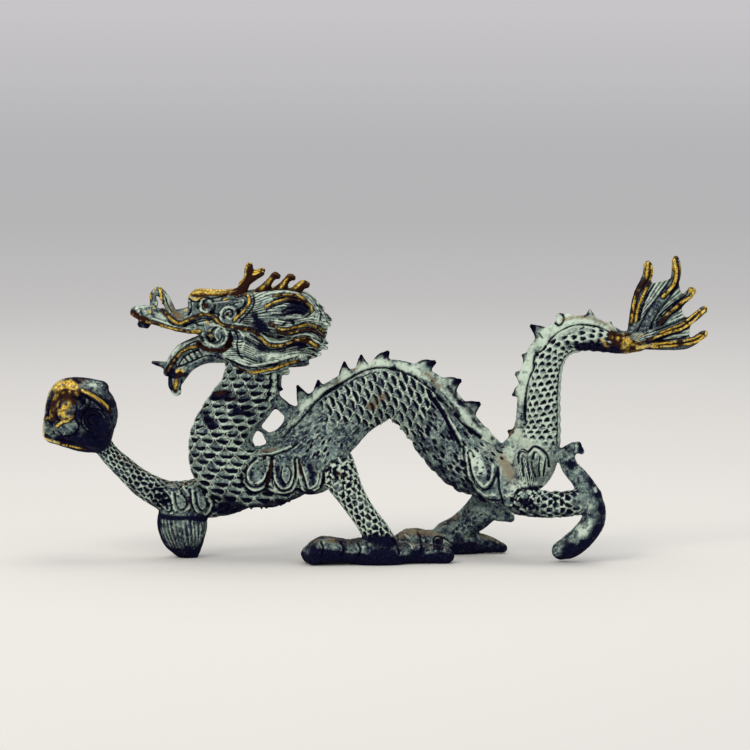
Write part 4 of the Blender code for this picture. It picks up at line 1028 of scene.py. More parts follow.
def ease(low, high, value):
    t = np.clip((value - low) / (high - low), 0, 1)
    return t * t * (3 - 2 * t)


def cloud(points, size):
    # smooth random field between 0 and 1
    place = points / size
    cell = np.floor(place).astype(int)
    part = place - cell
    part = part * part * (3 - 2 * part)
    value = np.zeros(len(points))
    for corner in np.ndindex(2, 2, 2):
        weight = np.prod(np.where(corner, part, 1 - part), axis=1)
        i, j, k = ((cell + corner) % 32).T
        value += weight * lattice[i, j, k]
    return value


def clouds(points, size):
    # three sizes of cloud together, for the ragged edges of stains
    middle = 0.3 * cloud(points + 9, size / 2.3)
    small = 0.18 * cloud(points + 17, size / 5)
    return 0.52 * cloud(points, size) + middle + small


def stains(part, size, low, high, shift=0):
    # soft patches of one size, from none to full
    return ease(low, high, clouds(places[part] + shift, size))


def jitter(row, col):
    return lattice[row.astype(int) % 32, col.astype(int) % 32, (row + 3 * col).astype(int) % 32]


def pitted(points, size):
    # distance to the nearest of scattered pits, in cells
    place = points / size
    cell = np.floor(place).astype(int)
    nearest = np.full(len(points), 9.0)
    for step in np.ndindex(3, 3, 3):
        i, j, k = ((cell + step - 1) % 32).T
        spot = cell + step - 1 + np.column_stack([lattice[i, j, k], lattice[j, k, i], lattice[k, i, j]])
        nearest = np.minimum(nearest, np.linalg.norm(place - spot, axis=1))
    return nearest


places = readPlaces(mesh)
normals = readNormals(mesh)
nearestForm = {name: np.zeros(count) for name in ("along", "angle", "knot")}
nearestForm["gap"] = np.full(count, 99.0)
nearestForm["owner"] = np.full(count, -1)


def gaugeBar(index, guide):
    squeeze = np.array((1, guide["depth"], 1))
    centre = guide["path"][:, :3] / squeeze
    radius = guide["path"][:, 3]
    along = np.gradient(centre, axis=0)
    along /= np.linalg.norm(along, axis=1)[:, None]
    step = np.linalg.norm(np.diff(centre, axis=0), axis=1)
    arc = np.concatenate([[0], np.cumsum(step)])
    out = np.column_stack([-along[:, 2], np.zeros(len(along)), along[:, 0]])
    out /= np.linalg.norm(out, axis=1)[:, None] + 1e-9
    scaled = places / squeeze
    margin = radius.max() + surface["reach"]
    inside = ((scaled > centre.min(0) - margin) & (scaled < centre.max(0) + margin)).all(1)
    near = np.flatnonzero(inside)
    for start in range(0, len(near), surface["batch"]):
        part = near[start:start + surface["batch"]]
        spots = scaled[part]
        square = (spots ** 2).sum(1)[:, None] + (centre ** 2).sum(1) - 2 * spots @ centre.T
        gap = np.sqrt(np.maximum(square, 0)) - radius
        k = np.argmin(gap, axis=1)
        gap = gap[np.arange(len(part)), k]
        offset = spots - centre[k]
        run = np.clip((offset * along[k]).sum(1), -0.6, 0.6)
        ring = offset - run[:, None] * along[k]
        angle = np.arctan2(-ring[:, 1] * guide["side"], (ring * out[k]).sum(1))
        claim(index, part, gap, arc[k] + run, angle, k / guide["steps"])


def gaugePad(index, guide):
    spots = (places - guide["centre"]) / guide["radii"]
    size = np.linalg.norm(spots, axis=1)
    part = np.flatnonzero(size < 2)
    spots = spots[part]
    gap = (size[part] - 1) * guide["radii"].min()
    angle = np.arctan2(-spots[:, 1] * guide["side"], spots[:, 2])
    claim(index, part, gap, spots[:, 0] * guide["radii"][0], angle, 0 * gap)


def claim(index, part, gap, along, angle, knot):
    # each point belongs to the form whose surface is nearest
    first = gap < nearestForm["gap"][part]
    won = part[first]
    nearestForm["owner"][won] = index
    for name, values in (("gap", gap), ("along", along), ("angle", angle), ("knot", knot)):
        nearestForm[name][won] = values[first]


for index, guide in enumerate(guides):
    if "path" in guide:
        gaugeBar(index, guide)
    else:
        gaugePad(index, guide)
groupNames = sorted({guide["group"] for guide in guides})
groupOf = np.array([groupNames.index(guide["group"]) for guide in guides])[nearestForm["owner"]]
print("stage 4: surface measured")

# what is carved and painted at each point
carved = {name: np.zeros(count) for name in ("height", "ink", "pale", "gold", "brown", "tan", "sootAndShade")}
sight = np.column_stack([places[:, 0], places[:, 2] * math.cos(sightTilt)
                         + np.where(places[:, 1] < 0, 1, -1) * places[:, 1] * math.sin(sightTilt)])
flankFacing = ease(0.05, 0.35, np.abs(normals[:, 1]))

scaleForm = {
    "wander": (0.18, 0.16),                # how far the scales stray from their rows and columns
    "inner": (0.05, 0.14),                 # where the hollow starts behind the rim
    "side": (0.68, 0.86),                  # where it ends at the sides
    "rim": 0.08,
    "neckRow": 2.45,
    "neckRound": 11,                       # scales in one turn round the neck
    "neckMiddle": ((20, 32, 41, 49.5, 58.6, 68), (-45, -51.2, -53.4, -50, -43.3, -42.1)),
    "chestWidth": 5.6,
    "archRow": (0.4643, 0.1688),           # rows and columns over the arch, counted along x and up
    "archColumn": (0.0432, -0.1909),
    "tailRow": 2.12,
    "tailRound": 14,
    "bellyBumps": 3.6,
}
stages = {                                 # where one relief gives way to the next along the body
    "chest": (3.8, 4.8), "neckEnd": (5.3, 6.2), "shoulderStart": (5.5, 6.5), "archStart": (7.0, 7.5),
    "archLow": (7.2, 8.6), "shoulderEnd": (8.4, 9.4), "loinStart": (9, 10), "saddleStart": (12.5, 13.5),
    "loinEnd": (12.6, 13.6), "tailStart": (14.7, 15.3), "tailEnd": (22.0, 23.0),
}


def scaleCells(row, col):
    # overlapping round scales: how far in from the free edge, across and along each one
    first = np.floor(row)
    edge, across, along, tone = np.zeros((4, len(row)))
    done = np.zeros(len(row), bool)
    for step in (0, 1):
        line = first + step
        shifted = col - 0.5 * (line % 2)
        number = np.round(shifted)
        x = 2 * (shifted - number)
        y = row - line
        reach = np.hypot(x, np.maximum(y, 0))
        inside = (reach < 1) & ~done if step == 0 else ~done
        edge[inside] = (1 - reach)[inside]
        across[inside] = x[inside]
        along[inside] = y[inside]
        tone[inside] = jitter(line, number)[inside]
        done |= inside
    return np.maximum(edge, 0), np.abs(across), along, tone


def carveScales(part, row, col, share, depth, chord, crownPale, lift=0,
                inner=scaleForm["inner"], side=scaleForm["side"]):
    # each scale has a thin pale rim, a dark hollow behind it and a raised root
    wander = cloud(places[part], 1.8) - 0.5
    strayRow, strayColumn = scaleForm["wander"]
    edge, across, along, tone = scaleCells(row + strayRow * wander, col + strayColumn * wander)
    pit = ease(*inner, edge) * ease(chord - 0.16, chord + 0.08, along + 0.16 * (tone - 0.5))
    pit *= 1 - ease(*side, across)
    rim = np.exp(-(edge / scaleForm["rim"]) ** 2)
    crown = 1 - ease(chord - 0.45, chord - 0.05, along)
    carved["height"][part] += share * (depth * (0.45 * rim + 0.25 * crown) - depth * (0.8 + 0.4 * tone) * pit)
    carved["height"][part] += share * lift * (0.6 - ease(0, 0.8, edge))
    carved["ink"][part] += share * pit * (1.0 + 0.5 * tone)
    carved["pale"][part] += share * (0.95 * rim + crownPale * (0.4 + 0.9 * tone) * crown) * (1 - pit)


def carveNeck(part, share, chest):
    # level rows down the neck and the chest
    x, height = sight[part].T
    middle = np.interp(height, *scaleForm["neckMiddle"])
    around = np.arctan2(np.abs(places[part, 1]), x - middle) * scaleForm["neckRound"] / (2 * math.pi)
    col = (1 - chest) * around + chest * (2.75 - (x - middle) / scaleForm["chestWidth"])
    row = -(height + 0.05 * (x + 50)) / scaleForm["neckRow"]
    carveScales(part, row, col, share, 0.5, 0.38, 0.48, lift=0.6)
    carved["sootAndShade"][part] += 0.5 * share * stains(part, 4.0, 0.38, 0.72)


def carveArch(part, share):
    # over the arch every scale opens towards the tail
    x, height = sight[part].T
    row, col = (a * x + b * height for a, b in (scaleForm["archRow"], scaleForm["archColumn"]))
    carveScales(part, row, col, share, 0.5, 0.32, 0.48, lift=0.4)
    carved["sootAndShade"][part] += 0.4 * share * stains(part, 4.5, 0.40, 0.72, 30)


def carveTail(part, share):
    # small scales, then a seam and low bumps along the belly
    angle = nearestForm["angle"][part]
    along = nearestForm["along"][part]
    belly = ease(2.55, 2.62, np.abs(angle))
    row = (along - 0.25 * (sight[part, 0] - 58)) / scaleForm["tailRow"]
    col = angle * scaleForm["tailRound"] / (2 * math.pi)
    carveScales(part, row, col, share * (1 - belly), 0.32, 0.40, 0.7, lift=0.2)
    seam = share * np.exp(-((np.abs(angle) - 2.5) / 0.07) ** 2)
    carved["ink"][part] += 1.1 * seam
    carved["height"][part] -= 0.25 * seam
    bumps = 0.5 + 0.5 * np.cos(along * 2 * math.pi / scaleForm["bellyBumps"])
    carved["height"][part] += share * belly * 0.3 * bumps
    carved["pale"][part] += share * (0.25 + 0.3 * belly)


def carveBody(part):
    knot = nearestForm["knot"][part]
    turn = np.abs(nearestForm["angle"][part])
    clear = ease(0.30, 0.42, turn)         # nothing is carved under the back fin
    x, height = sight[part].T
    neck = (1 - ease(*stages["neckEnd"], knot)) * clear
    carveNeck(part, neck, ease(*stages["chest"], knot))
    lowest = 1.5 + 1.7 * ease(*stages["archLow"], knot)
    hind = x - 0.45 * (height - 41) - 13.5
    arch = ease(*stages["archStart"], knot) * clear * (1 - ease(lowest - 0.15, lowest + 0.15, turn))
    arch *= 1 - ease(-0.8, 0.8, hind)
    carveArch(part, arch)
    tail = ease(*stages["tailStart"], knot) * (1 - ease(*stages["tailEnd"], knot)) * clear
    carveTail(part, tail)
    # short slanting cuts on the loin and behind the shoulder
    plain = (1 - neck) * (1 - arch) * (1 - tail)
    loin = plain * ease(*stages["loinStart"], knot) * (1 - ease(*stages["loinEnd"], knot))
    shoulder = plain * ease(*stages["shoulderStart"], knot) * (1 - ease(*stages["shoulderEnd"], knot))
    carveCuts(part, loin * clear, -50, 1.2)
    carveCuts(part, shoulder, 35, 0.7)
    carved["sootAndShade"][part] += loin * (0.2 + 0.5 * stains(part, 3.2, 0.35, 0.70))
    carved["height"][part] += loin * ease(2.3, 2.7, turn) * 1.3 * (cloud(places[part], 2.4) - 0.4)
    carvePits(part, plain * ease(*stages["loinEnd"], knot) * 0.4)
    saddle = ease(*stages["saddleStart"], knot) * (1 - ease(*stages["tailStart"], knot))
    carved["pale"][part] += 0.5 * saddle


def carveCuts(part, share, degrees, strength):
    # short strokes that all lean one way
    lean = math.radians(degrees)
    x, height = sight[part].T
    along = x * math.cos(lean) + height * math.sin(lean)
    across = height * math.cos(lean) - x * math.sin(lean)
    spots = np.column_stack([along / 3.2, across / 1.5, places[part, 1] / 3.2])
    cut = (1 - ease(0.26, 0.48, pitted(spots, 1.0))) * share
    carved["height"][part] -= 0.3 * strength * cut
    carved["ink"][part] += 0.9 * strength * cut
    carved["pale"][part] += 0.35 * share * ease(0.55, 0.70, clouds(spots * 2.2, 2.0))


def carvePits(part, share, size=2.1):
    hole = 1 - ease(0.18, 0.34, pitted(places[part] * (1, 1, 1.2), size))
    hole *= share
    carved["height"][part] -= 0.3 * hole
    carved["ink"][part] += 0.85 * hole


def carveNet(part, pitch, number, depth, inner, side, share=1.0):
    # small separate pits between pale net lines, no two quite alike
    drift = np.column_stack([cloud(places[part] + shift, 1.5) for shift in (0, 50)]) - 0.5
    row = nearestForm["along"][part] / pitch + 0.5 * drift[:, 0]
    col = nearestForm["angle"][part] * number / (2 * math.pi) + 0.45 * drift[:, 1]
    share = share * (0.4 + 0.9 * stains(part, 3.0, 0.30, 0.55, 60))
    carveScales(part, row, col, share, depth, 0.02, 0.4, inner=inner, side=side)


def carveLeg(part):
    # net on the shin, short cuts above it, a dark ankle
    shin = ease(0.7, 1.1, nearestForm["knot"][part])
    ankle = 1 - ease(7.0, 10.0, sight[part, 1] + 1.2 * (cloud(places[part], 1.6) - 0.5))
    carveNet(part, 2.1, 12, 0.34, (0.09, 0.19), (0.58, 0.78), shin * (1 - 0.8 * ankle))
    carveCuts(part, 1 - shin, 60, 1.0)
    carved["pale"][part] += 0.35 * shin * (1 - ankle)
    carved["brown"][part] += 0.12 * ankle
    carved["sootAndShade"][part] += ankle * (0.55 + 0.5 * clouds(places[part], 2.2))
    carved["sootAndShade"][part] += (1 - shin) * 0.6 * stains(part, 3.0, 0.38, 0.66)


def carveGrooves(part, wave, depth, share, dark=1.0, bright=1.0):
    crest = np.abs(np.sin(wave))
    carved["height"][part] += np.minimum(share, 1) * depth * (crest - 0.6)
    carved["ink"][part] += dark * share * (1 - ease(0.12, 0.52, crest))
    carved["pale"][part] += bright * share * ease(0.75, 1.0, crest)


def hairField(part):
    # number of the strand at each point, counted down from the top flow line
    x, s = sight[part].T
    levels = []
    for line in hairFlow:
        line = np.array(toMillimetres(line))
        levels.append(np.interp(x, line[:, 0], line[:, 1]))
    levels = np.array(levels)
    strands = np.cumsum((0, *hairStrands))
    field = np.full(len(part), np.nan)
    for i in range(len(levels) - 1):
        top, bottom = levels[i], levels[i + 1]
        within = (s <= top) & (s > bottom)
        share = (top - s) / np.maximum(top - bottom, 0.3)
        field = np.where(within, strands[i] + share * hairStrands[i], field)
    field = np.where(s > levels[0], -(s - levels[0]) / 1.1, field)
    return np.where(s <= levels[-1], strands[-1] + (levels[-1] - s) / 1.1, field)


def carveHair(part):
    # strands of uneven depth, with broad dark and worn patches
    wobble = 0.8 * cloud(places[part] * (0.35, 1, 1), 2.2)
    flank = flankFacing[part]
    strength = 0.35 + 0.8 * ease(0.25, 0.75, cloud(places[part] * (0.5, 1, 1), 1.9))
    deep = ease(0.40, 0.70, clouds(places[part] * (0.5, 1, 1), 3.4))
    dark = (0.5 + 0.7 * deep) * (0.5 + cloud(places[part], 1.1))
    carveGrooves(part, math.pi * (hairField(part) + wobble), 0.45 * strength, flank * strength, dark, 0.35)
    wave = math.pi * (np.abs(places[part, 1]) / 1.15 + wobble)
    carveGrooves(part, wave, 0.45 * strength, (1 - flank) * strength, dark, 0.5)
    carved["sootAndShade"][part] += 0.7 * deep
    carved["pale"][part] += 0.45 * ease(0.46, 0.70, clouds(places[part] * (0.5, 1, 1) + 40, 2.8))


def carveGilt(part):
    # brown metal with gold where it catches the hand; the gold is laid on the upward faces, so it is partly a
    # painted highlight from above
    up = normals[part, 2] + 1.4 * (cloud(places[part], 1.5) - 0.5)
    high = np.where(sight[part, 0] < -46, ease(90.0, 91.0, sight[part, 1]), 1)
    carved["brown"][part] += 0.95 * high
    carved["gold"][part] += np.where(sight[part, 0] < -41, 0.6, 0.15) * high * ease(0.6, 1.0, up)


def carveTuft(part, number, depth):
    # hair that runs down the tuft, below the ornaments
    wave = nearestForm["angle"][part] * number / 2 + 2.4 * clouds(places[part] * (1, 1, 0.4), 2.2)
    hair = np.where(sight[part, 0] < 0, 1 - ease(12.6, 14.6, sight[part, 1]), 1)
    carveGrooves(part, wave, depth, hair * (0.4 + 0.5 * stains(part, 2.6, 0.3, 0.6)), 1.0, 0.5)


def carveSpine(part, length):
    # dark blunt tip, hollowed flanks
    share = nearestForm["along"][part] / length + 0.5 * (cloud(places[part], 1.4) - 0.5)
    flank = np.exp(-((np.abs(nearestForm["angle"][part]) - 1.57) / 0.4) ** 2)
    rim = ease(0.5, 1.0, np.abs(np.abs(nearestForm["angle"][part]) - 1.57))
    carved["ink"][part] += 1.2 * ease(0.55, 0.85, share) + 0.9 * rim * ease(0.1, 0.4, share)
    carved["pale"][part] += 0.6 * (1 - ease(0.3, 0.6, share))
    carved["height"][part] -= 0.15 * flank


def fanRibs(part, degrees):
    # ribs that spread from the foot of the fan
    x, z = fanForm["ribCentre"]
    turn = np.degrees(np.arctan2(places[part, 2] - z, places[part, 0] - x))
    return turn / degrees * math.pi + cloud(places[part], 3) * 1.5


def carveFinger(part, length):
    # brown bone with a gold tip, and a finely ribbed web beside it
    web = ease(0.15, 0.6, nearestForm["gap"][part])
    bone = 1 - web
    angle = np.abs(np.abs(nearestForm["angle"][part]) - 1.57)
    share = nearestForm["along"][part] / length
    tip = ease(0.8, 1.0, share)
    brown = 0.15 + 0.35 * ease(0.6, 0.9, share)
    carved["brown"][part] += bone * brown * stains(part, 1.8, 0.35, 0.6)
    carved["ink"][part] += 0.9 * bone * ease(0.9, 1.2, angle) * (1 - tip)
    carved["sootAndShade"][part] += 0.45 * bone
    carved["gold"][part] += 0.7 * bone * tip * stains(part, 1.6, 0.45, 0.6)
    carveGrooves(part, fanRibs(part, 2.6), 0.26, web * (0.4 + 0.6 * stains(part, 3.0, 0.4, 0.6, 5)), 0.7)
    carved["pale"][part] += 0.35 * web
    carved["sootAndShade"][part] += web * (0.1 + 0.4 * stains(part, 3.2, 0.40, 0.70))


def carveFan(part):
    carveGrooves(part, fanRibs(part, 4.6), 0.3, np.full(len(part), 0.7))
    carved["brown"][part] += 0.7 * (1 - ease(86, 92, places[part, 0]))
    # painted shade on the underside of the stem
    carved["sootAndShade"][part] += 0.8 * (1 - ease(-0.3, 0.3, normals[part, 2]))
    carved["gold"][part] += 0.6 * stains(part, 1.5, 0.52, 0.66) * (1 - ease(88, 95, places[part, 0]))


def carveHind(part):
    knot = nearestForm["knot"][part]
    share = ease(0.4, 1.0, knot) * (1 - ease(3.2, 4.0, knot))
    carveNet(part, 2.0, 10, 0.3, (0.12, 0.24), (0.50, 0.70), share)
    carved["sootAndShade"][part] += 0.6 * stains(part, 3.6, 0.38, 0.68)


def carveFace(part):
    carvePits(part, np.full(len(part), 0.35), 1.5)
    carved["sootAndShade"][part] += 0.55 * stains(part, 2.8, 0.42, 0.70)


def carveFoot(part):
    # near black with a tan top, and more green left on the far foot
    bloom = stains(part, 3.0, 0.42, 0.68)
    carved["sootAndShade"][part] += np.where(places[part, 1] < 0, 1.05, 0.7) - 0.4 * bloom
    top = ease(0.35, 0.8, normals[part, 2]) * np.where(places[part, 1] < 0, 0.5, 0.7)
    carved["tan"][part] += top
    carved["sootAndShade"][part] -= 0.6 * top
    carved["height"][part] += 0.35 * (cloud(places[part], 1.7) - 0.5)
    carved["height"][part] += 0.25 * (cloud(places[part], 0.9) - 0.5)


reliefs = {
    "body": lambda part, guide: carveBody(part),
    "flank": lambda part, guide: carvePits(part, np.full(len(part), 0.8)),
    "netArm": lambda part, guide: carveNet(part, 2.0, 13, 0.28, (0.10, 0.22), (0.5, 0.7)),
    "netLeg": lambda part, guide: carveLeg(part),
    "pits": lambda part, guide: carvePits(part, np.full(len(part), 1.0), 2.0),
    "plain": lambda part, guide: carvePits(part, np.full(len(part), 0.5), 2.4),
    "fin": lambda part, guide: carvePits(part, np.full(len(part), 0.3), 1.8),
    "spine": lambda part, guide: carveSpine(part, guide["length"]),
    "tuft": lambda part, guide: carveTuft(part, 34, 0.35),
    "grip": lambda part, guide: carvePits(part, np.full(len(part), 0.3), 2.4),
    "netHind": lambda part, guide: carveHind(part),
    "hair": lambda part, guide: carveHair(part),
    "gilt": lambda part, guide: carveGilt(part),
    "face": lambda part, guide: carveFace(part),
    "pearl": lambda part, guide: None,
    "foot": lambda part, guide: carveFoot(part),
    "toe": lambda part, guide: carveFoot(part),
    "fanStem": lambda part, guide: carveFan(part),
    "finger": lambda part, guide: carveFinger(part, guide["length"]),
}
reliefDarkening = {                                  # how dark each relief is overall, and in patches
    "tuft": (0.35, 0.3), "pearl": (0.7, 0.5), "grip": (0.8, 0.4), "fanStem": (0, 0.4), "netArm": (0.1, 0.45),
    "pits": (0.25, 0.4), "flank": (0.05, 0.5), "plain": (0, 0.6), "fin": (0.08, 0.5),
}
for index, guide in enumerate(guides):
    part = np.flatnonzero(nearestForm["owner"] == index)
    if len(part):
        reliefs[guide["relief"]](part, guide)
        even, patchy = reliefDarkening.get(guide["relief"], (0, 0))
        carved["sootAndShade"][part] += even + patchy * stains(part, 3.2, 0.36, 0.68)
print("stage 5: scales, net and hair carved")


def lineGap(points, x, s):
    # distance to a carved line
    gap = np.full(len(x), 99.0)
    for (ax, az), (bx, bz) in zip(points, points[1:]):
        dx, dz = bx - ax, bz - az
        t = np.clip(((x - ax) * dx + (s - az) * dz) / max(dx * dx + dz * dz, 1e-6), 0, 1)
        gap = np.minimum(gap, np.hypot(x - ax - t * dx, s - az - t * dz))
    return gap


def smoothLine(points):
    if len(points) < 3:
        return [tuple(point) for point in points]
    return [tuple(point) for point in smoothPath(points, 5)]


def carveLine(kind, width, points, allowed):
    points = smoothLine(points)
    spots = np.array(points)
    low, high = spots.min(0) - 3 * width, spots.max(0) + 3 * width
    near = ((sight > low) & (sight < high)).all(1) & allowed
    part = np.flatnonzero(near)
    if not len(part):
        return
    share = flankFacing[part]
    gap = lineGap(points, *sight[part].T)
    fleck = cloud(places[part], 1.1)
    worn = cloud(places[part] + 20, 2.4)
    bell = np.exp(-(gap / (width * (0.75 + 0.5 * fleck))) ** 2) * share * (0.55 + 0.9 * worn)
    if kind == "groove":
        carved["height"][part] -= (0.35 + 0.3 * width) * bell
        carved["ink"][part] += 1.2 * bell
        carved["pale"][part] *= 1 - bell
        carved["gold"][part] *= 1 - bell
    elif kind == "ridge":
        carved["height"][part] += 0.4 * bell
        carved["ink"][part] *= 1 - bell
        carved["pale"][part] += bell
    # pale worn patina; a few bloom strokes are painted highlights
    elif kind == "bloom":
        wash = np.exp(-(gap / (1.1 * width)) ** 2) * share * stains(part, 1.8, 0.25, 0.55, 70)
        carved["pale"][part] += 0.75 * wash
        carved["sootAndShade"][part] *= 1 - wash
        carved["ink"][part] *= 1 - 0.7 * wash
    elif kind == "clean":
        wash = np.exp(-(gap / (1.2 * width)) ** 2) * share * stains(part, 1.8, 0.25, 0.5, 70)
        carved["pale"][part] += 0.15 * wash
        carved["sootAndShade"][part] *= 1 - wash
    elif kind == "shade":
        uneven = 0.4 + clouds(places[part] + 80, 2.2)
        carved["sootAndShade"][part] += 0.9 * np.exp(-(gap / width) ** 3) * share * uneven
    elif kind == "rust":
        wash = np.exp(-(gap / width) ** 2) * share * (0.4 + 0.8 * clouds(places[part] + 90, 1.8))
        carved["tan"][part] += wash
        carved["ink"][part] *= 1 - 0.6 * wash
    elif kind == "cream":
        wash = np.exp(-(gap / width) ** 2) * share
        carved["tan"][part] += 0.42 * wash
        carved["pale"][part] += 0.35 * wash
        carved["sootAndShade"][part] *= 1 - wash
    elif kind == "brownWash":
        carved["brown"][part] += (1 - ease(0.7 * width, 1.2 * width, gap)) * share * (0.4 + fleck)
    elif kind == "goldGlow":
        carved["gold"][part] += 0.9 * np.exp(-(gap / width) ** 2) * share * ease(0.42, 0.66, fleck)
    elif kind == "goldTrim":
        carved["gold"][part] += np.exp(-(gap / (0.8 * width)) ** 2) * share * ease(0.12, 0.40, fleck)
    elif kind == "goldWash":
        wash = (1 - ease(0.7 * width, 1.2 * width, gap)) * share
        carved["gold"][part] += wash * (0.3 + 1.2 * fleck)
        carved["ink"][part] *= 1 - wash
        carved["sootAndShade"][part] *= 1 - wash
    else:
        roll = np.sqrt(np.clip(1 - (gap / (1.35 * width)) ** 2, 0, 1)) * share
        flank = np.exp(-((gap - 1.7 * width) / (0.4 * width)) ** 2) * share
        carved["height"][part] += 0.75 * width * roll - 0.2 * flank
        carved["ink"][part] = carved["ink"][part] * (1 - ease(0, 0.5, roll)) + 0.7 * flank
        carved["pale"][part] *= 1 - ease(0, 0.5, roll)
        if kind == "goldRoll":
            carved["brown"][part] += 0.8 * ease(0.1, 0.6, roll)
            bright = ease(0.26, 0.42, worn) * ease(0.15, 0.42, fleck)
        else:
            carved["brown"][part] += ease(0.1, 0.6, roll)
            bright = 0.3 * ease(0.5, 0.7, fleck)
        carved["gold"][part] += 1.5 * ease(0.70, 0.95, roll) * bright


for group in carvedLines.values():
    allowed = np.isin(groupOf, [groupNames.index(name) for name in group["on"]])
    for kind, width, *points in group["lines"]:
        carveLine(kind, width, toMillimetres(points), allowed)

skin = surface["roughness"] * 2 * (cloud(places, 1.1) - 0.5)
skin += surface["roughness"] * (cloud(places, 2.6) - 0.5)
places += normals * (carved["height"] + skin - surface["inset"])[:, None]
places[:, 2] = np.maximum(places[:, 2], 0)
mesh.vertices.foreach_set("co", places.ravel())
mesh.update()
print("stage 6: lines carved")


def hollowness(mesh, rounds):
    # how far each point lies below its surroundings, in millimetres
    pairs = np.empty(len(mesh.edges) * 2, np.int32)
    mesh.edges.foreach_get("vertices", pairs)
    a, b = pairs.reshape(-1, 2).T
    amount = np.bincount(a, minlength=count) + np.bincount(b, minlength=count)
    soft = places.copy()
    for _ in range(rounds):
        for axis in range(3):
            column = soft[:, axis]
            total = np.bincount(a, column[b], count) + np.bincount(b, column[a], count)
            soft[:, axis] = 0.5 * column + 0.5 * total / amount
    return ((soft - places) * readNormals(mesh)).sum(1)


# fine hollows take the dark patina; the broad term is painted shade in the wide creases between forms
fine = hollowness(mesh, 6)
broad = hollowness(mesh, 40)
carved["ink"] += 1.0 * ease(0.04, 0.16, fine) + 0.7 * ease(0.2, 0.9, broad)
carved["pale"] += 0.8 * ease(0.02, 0.12, -fine)
# painted shade on faces that turn downwards
under = ease(0.35, 0.85, -normals[:, 2])
carved["sootAndShade"] += 0.35 * under
# darker towards the ground
low = 1 - ease(2.5, 7, places[:, 2])
carved["sootAndShade"] += 0.5 * low
print("stage 7: hollows found")


def writeColours(name, channels):
    layer = mesh.color_attributes.new(name, "FLOAT_COLOR", "POINT")
    values = np.ones((count, 4), np.float32)
    for i, channel in enumerate(channels):
        values[:, i] = np.clip(carved[channel], 0, 1)
    layer.data.foreach_set("color", values.ravel())


writeColours("patina", ("ink", "pale", "tan"))
writeColours("metal", ("gold", "brown", "sootAndShade"))
mesh.transform(((mm, 0, 0, 0), (0, mm, 0, 0), (0, 0, mm, 0), (0, 0, 0, 1)))

finish = {
    "verdigris": (0.160, 0.227, 0.214, 1),
    "deepGreen": (0.026, 0.041, 0.074, 1),
    # pale worn patina, also the colour of the painted highlights
    "worn": (0.68, 0.82, 0.68, 1),
    "tan": (0.22, 0.135, 0.055, 1),
    "ink": (0.0018, 0.0014, 0.012, 1),
    "brown": (0.030, 0.010, 0.008, 1),
    "gold": (0.88, 0.56, 0.050, 1),
    "gleam": (1.0, 0.82, 0.26, 1),
    # near black, for dark patina and for painted shade
    "sootAndShade": (0.004, 0.004, 0.021, 1),
    "sheen": 0.025,                        # how strongly the patina mirrors the room
    "patchScale": 260,
    "blotScale": 820,
    "fleckScale": 1600,
    "metalShare": 0.55,                    # how metallic the bare gold is
    "goldGloss": 0.24,                     # how much smoother it is than the patina
    "gritStrength": 0.4,
    "gritDepth": 0.00025,
}


